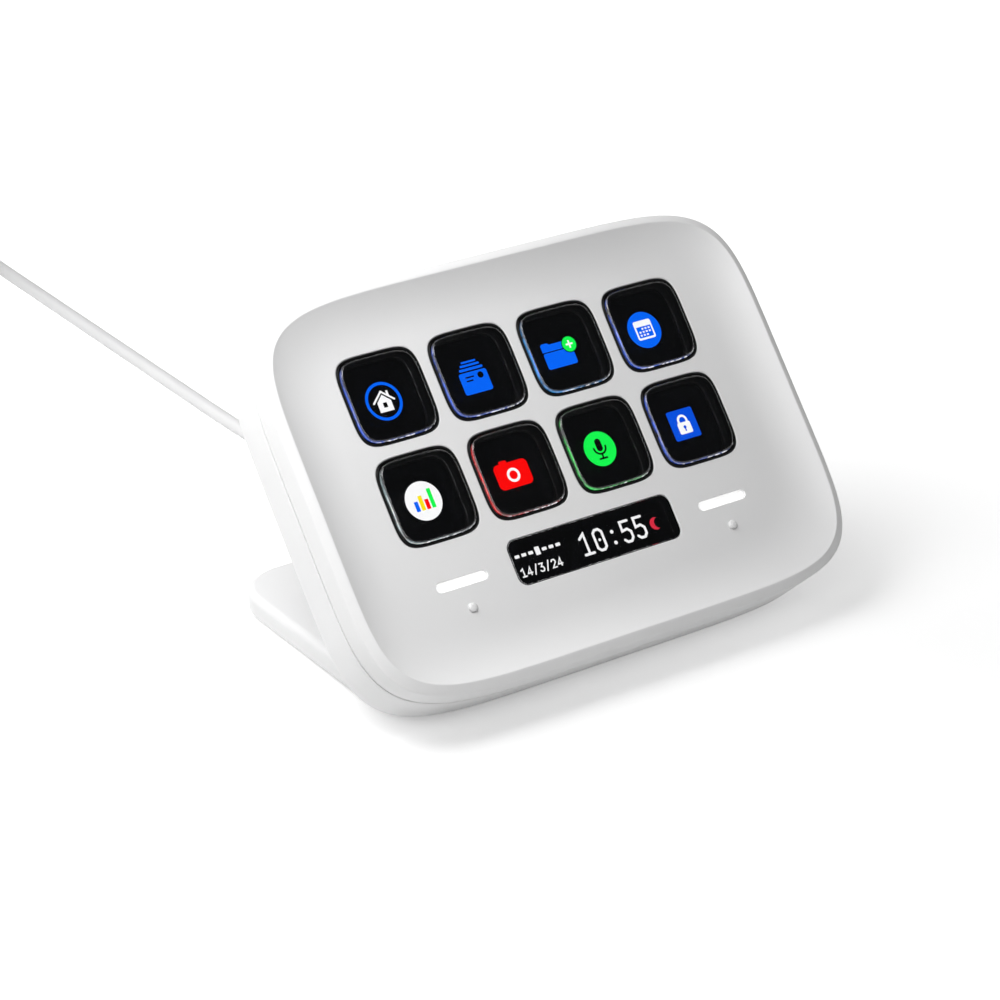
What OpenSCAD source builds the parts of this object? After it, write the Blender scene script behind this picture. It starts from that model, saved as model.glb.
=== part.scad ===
// Desk macro keypad: a tilted panel of clear push keys over one display,
// on a fixed weighted stand, with a captive USB cable stored in a coil.
// Millimetres, +Z up. X = 0 is the middle of the panel, Z = 0 is the desk.
// Panel pieces are drawn flat, with the dish floor at z = 0 and the key grid
// centred on the origin, and on_panel() tilts them into place.

/* [Keys] */
// Width of a key
key_w = 16.95; // [14:0.05:20]
// Height of a key
key_h = 16.8; // [14:0.05:20]
// Squareness of the key outline (2 is an ellipse)
key_power = 5; // [3.5:0.25:8]
// Spacing between neighbouring keys in a row
col_bar = 2.55; // [2:0.05:5]
// Spacing between the two rows
row_bar = 2.7; // [2:0.05:5]
// Running gap round a key in its opening
key_gap = 0.2; // [0.15:0.01:0.3]
// Key face above the dish floor
key_proud = 0.5; // [0.2:0.05:1]
// Rounding of the key's top edge
key_round = 0.7; // [0.3:0.05:1]
// Full press of a key
key_travel = 1; // [0.6:0.1:1.5]
// Width of the key's retaining flange
key_flange_w = 0.65; // [0.4:0.05:0.7]
// Thickness of the key's retaining flange
key_flange_t = 1; // [0.6:0.05:1.5]

/* [Panel] */
// Angle of the panel above the desk
panel_tilt = 49.5; // [40:0.5:60]
// Outermost key to the casing's side
side_border = 16.2; // [14.5:0.1:22]
// Top key row to the casing's top edge
top_border = 12.9; // [11.5:0.1:18]
// Bottom key row to the casing's bottom edge
bottom_border = 28.7; // [27.2:0.1:36]
// Squareness of the casing outline
casing_power = 6; // [4.5:0.25:8]
// Squareness of the outline at the parting line
parting_power = 5.6; // [5:0.1:6]
// Height of the rim above the dish floor
rim_h = 2.9; // [2:0.1:4]
// Width of the rim
rim_w = 2.3; // [2:0.1:3]
// Outer rounding of the rim
rim_round = 1.2; // [0.6:0.1:1.6]
// Width of the concave slope from the rim to the dish floor
dish_w = 9.5; // [6:0.1:11]
// Side wall thickness
wall = 1.65; // [1.2:0.05:1.8]
// Dish floor thickness
floor_t = 1.5; // [1.2:0.05:2.5]
// Depth of the bezel's edge below the dish floor
bezel_h = 2.5; // [2:0.1:4]
// Lean of the bezel's side wall
bezel_draft = 0.4; // [0:0.05:0.6]
// Parting line between bezel and rear shell
parting_gap = 0.15; // [0.05:0.05:0.3]

/* [Rear shell] */
// Thickness of the back wall
back_wall = 1.8; // [1.4:0.1:3]
// Rounding of the back edge
back_round = 2; // [1:0.1:2.6]
// Locating tongue: thickness
tongue_t = 0.85; // [0.6:0.05:1.2]
// Locating tongue: height above the parting line
tongue_h = 1.3; // [0.8:0.1:1.6]
// Gap between tongue and bezel wall
tongue_gap = 0.15; // [0.1:0.05:0.3]

/* [Status strip] */
// Width of the status window
window_w = 36.2; // [30:0.1:38]
// Height of the status window
window_h = 8.55; // [7:0.05:9]
// Corner radius of the status window
window_round = 1.8; // [1:0.1:3]
// Bottom key row to the window's centre line
window_drop = 7.9; // [7.4:0.1:9]
// Rim of the window behind the dish floor
window_lip = 1; // [0.6:0.1:1.2]
// Thickness of the rims behind the dish floor
lip_t = 0.7; // [0.5:0.1:1]
// Fit of the window and light bars in the bezel
insert_gap = 0.1; // [0.05:0.05:0.2]
// Side of the key grid in to the middle of a light bar
bar_side = 8.525; // [7:0.025:10]
// Light bars below the window's centre line
bar_drop = 0.1; // [0:0.05:0.5]
// Length of a light bar
bar_l = 10.7; // [8:0.1:12]
// Height of a light bar
bar_h = 1.65; // [1.2:0.05:2.5]
// Depth of a light bar's face below the dish floor
bar_sink = 0.3; // [0.1:0.05:0.6]
// Light bar down to the touch dot
dot_drop = 5; // [4.5:0.1:6]
// Radius of a touch dot's ball
dot_r = 0.95; // [0.7:0.05:1.2]
// Height of a touch dot
dot_h = 0.45; // [0.3:0.05:0.7]

/* [Inside] */
// Pressed key to the silicone mat
mat_gap = 0.2; // [0.1:0.05:0.5]
// Thickness of the silicone key mat
mat_t = 0.4; // [0.3:0.05:0.8]
// Width of the display beyond the key flanges, each side
display_side = 3; // [2.4:0.1:5]
// Reach of the display above the top flanges
display_top = 2.4; // [1.5:0.1:3]
// Reach of the display below the window's centre line
display_bottom = 7.6; // [6:0.1:8]
// Thickness of the display glass
glass_t = 1.2; // [0.8:0.1:2]
// Thickness of the backlight tray
backlight_t = 1.4; // [1:0.1:2.5]
// Thickness of the foam pad behind the backlight
foam_t = 0.5; // [0.4:0.1:1.5]
// Thickness of the main board
board_t = 1.2; // [0.8:0.1:1.6]
// Room for chips between the board and the back wall
chip_room = 1.7; // [1.6:0.1:4]
// Thickness of the display carrier's bars
carrier_bar = 2.3; // [1.5:0.1:2.5]
// Fit of the display in its carrier
carrier_gap = 0.15; // [0.1:0.05:0.3]
// Front of the carrier's ears in front of the display
carrier_front = 1; // [0.5:0.1:1.4]
// Radius of the screw bosses
boss_r = 2.6; // [2.3:0.1:2.8]
// Radius of the screw shanks
screw_r = 0.95; // [0.8:0.05:1.1]
// Radius of the screw heads
screw_head_r = 1.9; // [1.6:0.05:2]
// Height of the screw heads
screw_head_h = 0.9; // [0.7:0.1:1.2]
// Gap round a screw in its hole
screw_gap = 0.05; // [0.03:0.01:0.1]
// Depth of the case screws' counterbores in the back wall
counterbore = 1.3; // [1:0.1:3]
// Tips of the screws beyond the parting of their bosses
screw_grip = 3.4; // [2.6:0.1:4]
// Corner bosses meet in front of the main board
boss_split = 1.7; // [1:0.1:2.2]
// Corner screws in from the casing's sides
corner_in_x = 8.9; // [8:0.1:10]
// Corner screws in from the casing's top and bottom
corner_in_y = 9.9; // [9:0.1:11]
// Carrier's side screws out from its edge
ear_out = 1.6; // [1.4:0.1:1.8]
// Upper side screws above the key grid's centre
ear_high = 8; // [4:0.5:10]
// Lower side screws below the key grid's centre
ear_low = 20; // [12:0.5:21]

/* [Stand] */
// Width of the stand
stand_w = 90.6; // [80:0.2:100]
// Key grid centre back to the stand's rear edge
stand_reach = 38.7; // [30:0.1:55]
// Thickness of the stand's slab
stand_t = 4.2; // [3.8:0.1:4.8]
// Corner radius of the slab
stand_corner = 10; // [6:0.5:16]
// Rounding of the slab's top edge
stand_round = 1.5; // [0.8:0.1:2]
// Height of the landing pad up the back wall
pad_rise = 16; // [15:0.5:17]
// Width of the landing pad
pad_w = 44; // [36:1:60]
// Thickness of the landing pad
pad_t = 3; // [2.6:0.1:5]
// Top skin of the slab over the weight
skin_t = 1.6; // [1.2:0.1:2]
// Thickness of the rubber foot
foot_t = 1.6; // [1.2:0.1:2.2]
// Rubber foot below the slab
foot_proud = 0.9; // [0.5:0.1:1.3]
// Casing's lowest edge above the desk
casing_lift = 0.6; // [0.3:0.1:1.2]
// Slab edge round the rubber foot
foot_border = 2.5; // [2:0.1:5]
// Foot's edge beyond the steel weight, all round
weight_in = 3; // [1:0.1:6]
// Gap round the foot and the weight
recess_gap = 0.1; // [0.05:0.05:0.3]

/* [Cable] */
// Diameter of the cable
cable_d = 3; // [2.6:0.1:3.4]
// Exit of the cable below the key grid centre, along the panel
exit_drop = 24; // [23:0.1:24.6]
// Length of the strain relief outside the back wall
relief_l = 9; // [7:0.5:10]
// Radius of the strain relief at the back wall
relief_r = 3.2; // [2.6:0.1:3.6]
// Strain relief's collar inside the shell: radius
collar_r = 4.4; // [4:0.1:5]
// Strain relief's collar inside the shell: thickness
collar_t = 1; // [0.8:0.1:1.2]
// Thickness of the tie round the coil
tie_t = 0.8; // [0.5:0.1:1.2]
// Width of the tie, as an angle round the coil
tie_angle = 20; // [12:1:30]

/* [Plug] */
// Width of the plug's grip
plug_w = 11.4; // [10.5:0.1:12.4]
// Thickness of the plug's grip
plug_t = 6.2; // [5.4:0.1:6.5]
// Length of the plug's grip
plug_l = 18; // [15:0.5:20]
// Length of the plug's strain relief
plug_relief_l = 7; // [5:0.5:9]
// Width of the USB-C shell
usb_w = 8.34; // [8.24:0.02:8.44]
// Thickness of the USB-C shell
usb_t = 2.56; // [2.46:0.02:2.66]
// Length of the USB-C shell
usb_l = 6.65; // [6.2:0.05:7]
// Wall of the USB-C shell
usb_wall = 0.3; // [0.25:0.05:0.4]

/* [Hidden] */
key_cols = 4;
key_rows = 2;
e = 0.01;
$fn = 48;

// Key grid
pitch_x = key_w + col_bar;
pitch_y = key_h + row_bar;
grid_w = (key_cols - 1) * pitch_x + key_w;
grid_h = (key_rows - 1) * pitch_y + key_h;
flange_x = grid_w / 2 + key_flange_w;
flange_y = grid_h / 2 + key_flange_w;

// Casing outline: half sizes and centre
casing_a = grid_w / 2 + side_border;
casing_b = (grid_h + top_border + bottom_border) / 2;
casing_y = (top_border - bottom_border) / 2;

// Depths behind the dish floor, from the front to the back
under_z = -floor_t;
rest_gap = 0.1;
flange_top = under_z - rest_gap;
flange_bottom = flange_top - key_flange_t;
mat_top = flange_bottom - key_travel - mat_gap;
display_z = mat_top - mat_t;
backlight_z = display_z - glass_t;
foam_z = backlight_z - backlight_t;
board_z = foam_z - foam_t;
board_back = board_z - board_t;
inner_back = board_back - chip_room;
back_z = inner_back - back_wall;
ear_z = display_z + carrier_front;

// Display
display_a = flange_x + display_side;
display_hi = flange_y + display_top;
window_y = -grid_h / 2 - window_drop;
display_lo = window_y - display_bottom;
display_cy = (display_hi + display_lo) / 2;
display_b = (display_hi - display_lo) / 2;
carrier_a = display_a + carrier_gap + carrier_bar;
carrier_b = display_b + carrier_gap + carrier_bar;

// Status strip
bar_x = grid_w / 2 - bar_side;
bar_y = window_y - bar_drop;
dot_y = bar_y - dot_drop;

// Screw places on the panel
corner_screws = [for (sx = [-1, 1], sy = [-1, 1])
    [sx * (casing_a - corner_in_x), casing_y + sy * (casing_b - corner_in_y)]];
ear_x = carrier_a + ear_out;
ear_screws = [for (sx = [-1, 1], y = [ear_high, -ear_low]) [sx * ear_x, y]];
shell_boss_z = board_z + boss_split;
pilot_r = screw_r + screw_gap;
pilot_over = 0.6;
ear_tip_z = under_z - 0.2;
stand_tip_z = back_z - pad_t + 0.6;

// Where the panel stands over the desk
tilt_s = sin(panel_tilt);
tilt_c = cos(panel_tilt);
low_y = casing_y - casing_b + back_round;
low_z = back_z + back_round;
panel_z = casing_lift + back_round - low_y * tilt_s - low_z * tilt_c;
front_reach = max([for (r = rim_rings()) (casing_b - casing_y - r[0]) * tilt_c + r[1] * tilt_s]);
panel_y = (front_reach - stand_reach) / 2;
stand_back = (front_reach + stand_reach) / 2;

// Stand
slab_top = foot_proud + stand_t;
slab_front = panel_y + (foot_proud - panel_z - back_z * tilt_c) / tilt_s * tilt_c - back_z * tilt_s;
pad_low = (slab_top - panel_z - back_z * tilt_c) / tilt_s;
pad_high = casing_y - casing_b + pad_rise;
foot_top = foot_t;
weight_top = slab_top - skin_t;

// Cable route on the desk
cable_r = cable_d / 2;
exit_y = -exit_drop;
exit_straight = 2;
relief_tip = panel_point([0, exit_y, back_z - relief_l]);
exit_lead = panel_point([0, exit_y, back_z - relief_l - exit_straight]);
ROUTE = [
    [0, 0.6, 8.5], [0, 2.8, 7.5], [0, 5.1, 6.85], [0, 7.5, 6.65], [0, 13, 6.65], [0, 19, 6.65],
    [0, 25, 6.65], [-0.1, 32, 6.7], [-0.2, 36, 6.55], [-0.4, 40, 5.95], [-0.6, 44, 5],
    [-0.9, 48, 3.9], [-1.2, 52, 2.85], [-1.5, 56, 2.05], [-1.9, 61, 1.5], [-2.6, 68, 1.5],
    [-3.3, 76, 1.5], [-4, 84, 1.5], [-4.5, 92, 1.5], [-4.8, 100, 1.5], [-5, 110, 1.5],
    [-5, 122, 1.5], [-5, 134, 1.5], [-5, 146, 1.5], [-5, 158, 1.5], [-5, 170, 1.5],
    [-5, 182, 1.5], [-5, 194, 1.5], [-5, 206, 1.5], [-5, 216, 1.6], [-5, 224, 1.9],
    [-5, 232, 2.2], [-5, 240, 2.35]
];
// Coil: turns side by side and stacked, one cable diameter apart
coil_x = -26;
coil_y = 240;
coil_mid_r = 18;
coil_wide = 3;
coil_high = 4;
tie_gap = 0.05;
coil_z = tie_t + tie_gap;
coil_in = coil_mid_r - coil_wide * cable_r;
coil_out = coil_mid_r + coil_wide * cable_r;
coil_top = coil_z + coil_high * cable_d;
// The last turn climbs on to the coil and into the plug, measured from the coil's centre
LEAD = [
    [-10.5, -18.2, 11.35], [-5.4, -20.3, 11.5], [0, -21, 12], [5.4, -20.3, 12.6],
    [10.5, -18.2, 13.2], [14.8, -14.8, 13.8], [18.2, -10.5, 14.3], [20.2, -5.4, 14.7],
    [20.6, 0, 15], [20.4, 3, 15.2], [19.6, 6, 15.4], [18.1, 9, 15.6], [15.9, 11.8, 15.8],
    [13.2, 14, 15.9], [10.3, 15.5, 16], [8.6, 15.9, 16], [7, 16, 16]
];
plug_x = coil_x + LEAD[len(LEAD) - 1][0];
plug_y = coil_y + LEAD[len(LEAD) - 1][1];
plug_z = coil_top + tie_gap + plug_t / 2;

// ---------------------------------------------------------------- helpers

// A point of the flat panel, in desk coordinates
function panel_point(p) = [
    p[0],
    panel_y + p[1] * tilt_c - p[2] * tilt_s,
    panel_z + p[1] * tilt_s + p[2] * tilt_c
];

// Tilts children drawn on the flat panel into place
module on_panel() {
    translate([0, panel_y, panel_z]) rotate([panel_tilt, 0, 0]) children();
}

rim_sides = 96;
key_sides = 48;
// Outline |x/a|^m + |y/b|^m = 1
function squircle(a, b, m, n = rim_sides) = [
    for (i = [0:n - 1])
        let (c = cos(360 * i / n), s = sin(360 * i / n))
        [a * sign(c) * pow(abs(c), 2 / m), b * sign(s) * pow(abs(s), 2 / m)]
];

// Rectangle a by b (half sizes) with round corners, n points a quarter
function round_rect(a, b, r, n = 10) = [
    for (q = [0:3], i = [0:n])
        let (w = 90 * (q + i / n))
        [(q == 0 || q == 3 ? 1 : -1) * (a - r) + r * cos(w), (q < 2 ? 1 : -1) * (b - r) + r * sin(w)]
];

// Closed solid through a stack of outlines with equally many 3-D points
module loft(rings) {
    n = len(rings[0]);
    k = len(rings);
    side = [for (j = [0:k - 2], i = [0:n - 1])
        let (p = j * n + i, q = j * n + (i + 1) % n)
        each [[p, p + n, q], [q, p + n, q + n]]];
    polyhedron(
        points = [for (r = rings, p = r) p],
        faces = concat([[for (i = [0:n - 1]) i]], side, [[for (i = [0:n - 1]) k * n - 1 - i]]),
        convexity = 8
    );
}

// Casing outlines, each given as [inset, height, squareness]
module casing_loft(steps) {
    loft([for (s = steps) [for (p = squircle(casing_a - s[0], casing_b - s[0], s[2]))
        [p[0], p[1] + casing_y, s[1]]]]);
}

// Prism of a squircle, from z0 up to z1
module squircle_prism(a, b, m, z0, z1, n = key_sides) {
    translate([0, 0, z0]) linear_extrude(z1 - z0) polygon(squircle(a, b, m, n));
}

// Round-ended bar, from z0 up to z1
module pill(l, h, z0, z1) {
    translate([0, 0, z0]) linear_extrude(z1 - z0) union() {
        square([l - h, h], center = true);
        for (s = [-1, 1]) translate([s * (l - h) / 2, 0]) circle(d = h);
    }
}

// Plate with round corners, given by half sizes, from z0 up to z1
module plate(a, b, r, z0, z1) {
    translate([0, 0, z0]) linear_extrude(z1 - z0) union() {
        square([2 * a, 2 * (b - r)], center = true);
        square([2 * (a - r), 2 * b], center = true);
        for (sx = [-1, 1], sy = [-1, 1]) translate([sx * (a - r), sy * (b - r)]) circle(r);
    }
}

// Cylinder from z0 up to z1 at a place on the panel
module post(place, r, z0, z1) {
    translate([place[0], place[1], z0]) cylinder(r = r, h = z1 - z0);
}

// Pan-head screw: head from z_head down to back, shank up to z_tip
module screw(place, z_head, z_tip) {
    post(place, screw_head_r, z_head - screw_head_h, z_head);
    post(place, screw_r, z_head - e, z_tip);
}

// Tube of eight sides swept along a route
module swept_tube(route, r) {
    n = len(route);
    loft([for (i = [0:n - 1])
        let (
            a = route[max(i - 1, 0)],
            b = route[min(i + 1, n - 1)],
            t = (b - a) / norm(b - a),
            s = cross(t, [0, 0, 1]) / norm(cross(t, [0, 0, 1])),
            u = cross(s, t)
        )
        [for (k = [0:7]) route[i] + r * (cos(45 * k) * s - sin(45 * k) * u)]]);
}

// --------------------------------------------------------------- outlines

rim_step = 0.25;
dish_curve = 2.3;
dish_square = 0.3;
dish_rounder = 1.3;

// Dish profile: height above the floor, s from 0 at the rim to 1 at the floor
function dish_z(s) = (rim_h - rim_step) * pow(1 - s, dish_curve);

// Outer rounding of the rim as [inset, height, squareness]
function rim_rings() = [
    for (w = [0:22.5:90])
        [bezel_draft + rim_round * (1 - cos(w)), rim_h - rim_round * (1 - sin(w)), casing_power]
];

// The dish from the rim's inner edge to the floor
dish_steps = 8;
function dish_rings(drop, first = 0) = [
    for (i = [first:dish_steps])
        let (s = i / dish_steps)
        [rim_w + dish_w * s, dish_z(s) - drop, casing_power + dish_square - dish_rounder * s]
];

// ------------------------------------------------------------------ bezel

rim_land = 0.35;
roof_chamfer = 0.5;
module bezel_body() {
    roof_z = dish_z(1 / dish_steps) - floor_t + rim_land / 2;
    inside = [for (i = [0:dish_steps - 1]) dish_rings(floor_t, 1)[dish_steps - 1 - i]];
    casing_loft(concat(
        inside,
        [[wall + roof_chamfer, roof_z, casing_power], [wall, roof_z - roof_chamfer, casing_power]],
        [[wall, -bezel_h, casing_power], [0, -bezel_h, parting_power]],
        rim_rings(),
        [[rim_w - rim_land, rim_h, casing_power]],
        dish_rings(0)
    ));
}

module front_bezel() {
    color("white") on_panel() difference() {
        union() {
            bezel_body();
            for (p = corner_screws) post(p, boss_r, shell_boss_z, -e);
            for (p = ear_screws) post(p, boss_r, ear_z, -e);
            for (s = [-1, 1]) translate([s * bar_x, dot_y, dot_h - dot_r]) sphere(dot_r);
        }
        for (c = [0:key_cols - 1], r = [0:key_rows - 1]) translate(key_place(c, r))
            squircle_prism(key_w / 2 + key_gap, key_h / 2 + key_gap, key_power, under_z - 1, rim_h);
        translate([0, window_y, 0]) plate(
            window_w / 2 + insert_gap, window_h / 2 + insert_gap, window_round + insert_gap,
            under_z - 1, rim_h
        );
        for (s = [-1, 1]) translate([s * bar_x, bar_y, 0])
            pill(bar_l + 2 * insert_gap, bar_h + 2 * insert_gap, under_z - 1, rim_h);
        for (p = corner_screws) post(p, pilot_r, shell_boss_z - e, under_z);
        for (p = ear_screws) post(p, pilot_r, ear_z - e, ear_tip_z + pilot_over);
    }
}

// ------------------------------------------------------------------- keys

function key_place(c, r) = [(c - (key_cols - 1) / 2) * pitch_x, ((key_rows - 1) / 2 - r) * pitch_y, 0];

module key_cap(i) {
    c = (i - 1) % key_cols;
    r = floor((i - 1) / key_cols);
    shoulder = key_proud - key_round;
    color("black") on_panel() translate(key_place(c, r)) {
        squircle_prism(
            key_w / 2 + key_flange_w, key_h / 2 + key_flange_w, key_power, flange_bottom, flange_top
        );
        loft(concat(
            [[for (p = squircle(key_w / 2, key_h / 2, key_power, key_sides)) [p[0], p[1], flange_top - e]]],
            [for (w = [0:30:90])
                let (inset = key_round * (1 - cos(w)))
                [for (p = squircle(key_w / 2 - inset, key_h / 2 - inset, key_power, key_sides))
                    [p[0], p[1], shoulder + key_round * sin(w)]]]
        ));
    }
}

mat_corner = 2;
mat_lip = 1;
module key_mat() {
    color("dimgray") on_panel() difference() {
        plate(flange_x, flange_y, mat_corner, display_z, mat_top);
        for (c = [0:key_cols - 1], r = [0:key_rows - 1]) translate(key_place(c, r))
            squircle_prism(
                key_w / 2 - mat_lip, key_h / 2 - mat_lip, key_power, display_z - 1, mat_top + 1
            );
    }
}

// ----------------------------------------------------------- status strip

module info_window() {
    color("black") on_panel() translate([0, window_y, 0]) union() {
        plate(window_w / 2, window_h / 2, window_round, under_z - e, 0);
        plate(
            window_w / 2 + window_lip, window_h / 2 + window_lip, window_round,
            under_z - lip_t, under_z
        );
    }
}

module light_bar(side) {
    color("white") on_panel() translate([side * bar_x, bar_y, 0]) union() {
        pill(bar_l, bar_h, display_z + mat_gap, -bar_sink);
        pill(bar_l + 2 * window_lip, bar_h + 2 * window_lip, under_z - lip_t, under_z);
    }
}

film_t = 0.2;
film_pad_l = 10;
film_pad_h = 4.6;
strip_h = 2.6;
tail_w = 8;
film_gap = 0.4;
film_corner = 1;
// Copper film behind the two touch dots, with its tail down to the board
module touch_sensor() {
    strip_y = dot_y - film_pad_h / 2 - strip_h / 2;
    tail_y = display_cy - carrier_b - film_gap;
    color("orange") on_panel() union() {
        for (s = [-1, 1]) translate([s * bar_x, dot_y, 0])
            plate(film_pad_l / 2, film_pad_h / 2, film_corner, under_z - film_t, under_z);
        translate([-bar_x, strip_y - strip_h / 2 - e, under_z - film_t])
            cube([2 * bar_x, strip_h + 2 * e, film_t]);
        translate([-tail_w / 2, tail_y - film_t, under_z - film_t])
            cube([tail_w, strip_y - tail_y + film_t, film_t]);
        translate([-tail_w / 2, tail_y - film_t, board_back])
            cube([tail_w, film_t, under_z - board_back]);
    }
}

// ---------------------------------------------------------------- display

module display_sheet(inset, r, z0, z1) {
    translate([0, display_cy, 0]) plate(display_a - inset, display_b - inset, r, z0, z1);
}

glass_in = 0.4;
tray_corner = 0.6;
module lcd_panel() {
    color("darkslategray") on_panel() display_sheet(glass_in, tray_corner, backlight_z, display_z);
}

module lcd_backlight() {
    color("silver") on_panel() display_sheet(0, tray_corner, foam_z, backlight_z);
}

flex_w = 20;
flex_t = 0.3;
flex_l = 12;
slot_side = 1;
slot_h = 1.2;
slot_drop = 6;
slot_y = display_cy - slot_drop;
flex_low = slot_y - flex_l;
flex_y = slot_y + (slot_h - flex_t) / 2;
lcd_socket_w = flex_w + 3;
lcd_socket_h = 4;
lcd_socket_up = 8;
lcd_socket_y = slot_y + lcd_socket_up;

foam_in = 3;
foam_corner = 2;
// Foam behind the backlight, with a window for the display's flex
module foam_pad() {
    color("black") on_panel() difference() {
        display_sheet(foam_in, foam_corner, board_z, foam_z);
        translate([-flex_w / 2 - slot_side, flex_low - slot_side, board_z - e])
            cube([flex_w + 2 * slot_side, slot_y + slot_h - flex_low + 2 * slot_side, foam_t + 2 * e]);
    }
}

// Flex: flat behind the backlight, through the board's slot, on to its socket
module lcd_flex() {
    color("orange") on_panel() translate([-flex_w / 2, 0, 0]) union() {
        translate([0, flex_low, foam_z - flex_t]) cube([flex_w, flex_y + flex_t - flex_low, flex_t]);
        translate([0, flex_y, board_back - flex_t])
            cube([flex_w, flex_t, foam_z - board_back + flex_t]);
        translate([0, flex_y, board_back - flex_t])
            cube([flex_w, lcd_socket_y - lcd_socket_h / 2 - flex_y, flex_t]);
    }
}

module ears(r, z0, z1) {
    for (p = ear_screws) {
        post(p, r, z0, z1);
        translate([p[0] > 0 ? carrier_a - 1 : -ear_x, p[1] - r, z0])
            cube([ear_x - carrier_a + 1, 2 * r, z1 - z0]);
    }
}

boss_room = 0.6;
// Holes for the ears' screws and room round the corner bosses
module corner_room(z0, z1) {
    for (p = corner_screws) post(p, boss_r + boss_room, z0, z1);
    for (p = ear_screws) post(p, pilot_r, z0, z1);
}

carrier_corner = 3;
carrier_lip = 1.2;
module display_carrier() {
    color("gray") on_panel() difference() {
        union() {
            translate([0, display_cy, 0]) plate(carrier_a, carrier_b, carrier_corner, board_z, ear_z);
            ears(boss_r, board_z, ear_z);
        }
        display_sheet(-carrier_gap, tray_corner, board_z - 1, display_z);
        translate([0, display_cy, 0])
            plate(display_a - carrier_lip, display_b - carrier_lip, foam_corner, board_z - 1, ear_z + 1);
        corner_room(board_z - 1, ear_z + 1);
    }
}

// ------------------------------------------------------------ electronics

module main_board() {
    color("darkgreen") on_panel() difference() {
        union() {
            translate([0, display_cy, 0]) plate(carrier_a, carrier_b, carrier_corner, board_back, board_z);
            ears(boss_r, board_back, board_z);
        }
        translate([-flex_w / 2 - slot_side, slot_y, board_back - 1])
            cube([flex_w + 2 * slot_side, slot_h, board_t + 2]);
        corner_room(board_back - 1, board_z + 1);
    }
}

// Flat package soldered to the board's back
module chip(x, y, w, h, t) {
    translate([x - w / 2, y - h / 2, board_back - t]) cube([w, h, t]);
}

processor_w = 12;
processor_t = 1;
chip_in = 22;
chip_up = 12;
chip_x = carrier_a - chip_in;
chip_y = display_cy + chip_up;
module processor() {
    color("black") on_panel() chip(chip_x, chip_y, processor_w, processor_w, processor_t);
}

memory_w = 6;
memory_h = 5;
memory_t = 0.8;
chip_gap = 4;
module memory_chip() {
    memory_y = chip_y - processor_w / 2 - chip_gap - memory_h / 2;
    color("black") on_panel() chip(chip_x, memory_y, memory_w, memory_h, memory_t);
}

lcd_socket_t = 1;
module lcd_connector() {
    color("ivory") on_panel() chip(0, lcd_socket_y, lcd_socket_w, lcd_socket_h, lcd_socket_t);
}

lead_l = 4.4;
lead_top = exit_y + collar_r + lead_l;
cable_socket_w = 8;
cable_socket_h = 3.2;
cable_socket_t = 1.2;
module cable_connector() {
    color("ivory") on_panel()
        chip(0, lead_top + cable_socket_h / 2, cable_socket_w, cable_socket_h, cable_socket_t);
}

// Four insulated wires from the strain relief's collar to their connector
module cable_leads() {
    lead_r = 0.4;
    lead_pitch = 1.1;
    lead_in = 0.6;
    lead_z = board_back - cable_socket_t / 2;
    color("firebrick") on_panel() for (k = [-1.5:1.5])
        translate([k * lead_pitch, exit_y + collar_r - lead_in, lead_z])
        rotate([-90, 0, 0]) cylinder(r = lead_r, h = lead_l + lead_in);
}

// ----------------------------------------------------------------- screws

module carrier_screws() {
    color("silver") on_panel() for (p = ear_screws) screw(p, board_back, ear_tip_z);
}

case_head_z = back_z + counterbore;
module shell_screws() {
    color("silver") on_panel() for (p = corner_screws) screw(p, case_head_z, shell_boss_z + screw_grip);
}

stand_screw_y = (pad_low + pad_high) / 2;
stand_screw_in = 7;
stand_screw_places = [for (x = [-1, 0, 1]) [x * (pad_w / 2 - stand_screw_in), stand_screw_y]];
module stand_screws() {
    color("silver") on_panel() mirror([0, 0, 1]) for (p = stand_screw_places)
        screw(p, -inner_back, -stand_tip_z);
}

// ------------------------------------------------------------- rear shell

tongue_land = 1.6;
tongue_slope = 0.8;
head_gap = 0.2;
relief_gap = 0.05;
module rear_body() {
    top = -bezel_h - parting_gap;
    inner = wall + tongue_gap + tongue_t;
    m = casing_power;
    casing_loft(concat(
        [for (w = [90:-18:0])
            [back_round * (1 - cos(w)), back_z + back_round * (1 - sin(w)), m]],
        [[0, top, parting_power], [wall + tongue_gap, top, m]],
        [[wall + tongue_gap, -bezel_h + tongue_h, m]],
        [[inner, -bezel_h + tongue_h, m], [inner, top - tongue_land, m]],
        [[wall, top - tongue_land - tongue_slope, m]],
        [[wall, inner_back + 1, m], [wall + 1, inner_back, m]]
    ));
}

module rear_shell() {
    color("white") on_panel() difference() {
        union() {
            rear_body();
            for (p = corner_screws) post(p, boss_r, inner_back - e, shell_boss_z);
        }
        for (p = corner_screws) {
            post(p, pilot_r, back_z - 1, shell_boss_z + 1);
            post(p, screw_head_r + head_gap, back_z - 1, case_head_z);
        }
        for (p = stand_screw_places) post(p, pilot_r, back_z - 1, inner_back + 1);
        post([0, exit_y], relief_r + relief_gap, back_z - 1, inner_back + 1);
    }
}

// ------------------------------------------------------------------ stand

module stand_slab() {
    depth = stand_back - slab_front;
    translate([0, (stand_back + slab_front) / 2, 0]) loft(concat(
        [[for (p = round_rect(stand_w / 2, depth / 2, stand_corner)) [p[0], p[1], foot_proud]]],
        [for (w = [0:22.5:90])
            let (inset = stand_round * (1 - cos(w)))
            [for (p = round_rect(stand_w / 2 - inset, depth / 2 - inset, stand_corner - inset))
                [p[0], p[1], slab_top - stand_round * (1 - sin(w))]]]
    ));
}

foot_toe = 5;
// Rubber foot outline, or a smaller or larger one by inset
module foot_plate(inset, z0, z1) {
    front = slab_front + foot_toe + foot_border;
    back = stand_back - foot_border;
    translate([0, (front + back) / 2, 0]) plate(
        stand_w / 2 - foot_border - inset, (back - front) / 2 - inset,
        stand_corner - foot_border, z0, z1
    );
}

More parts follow.
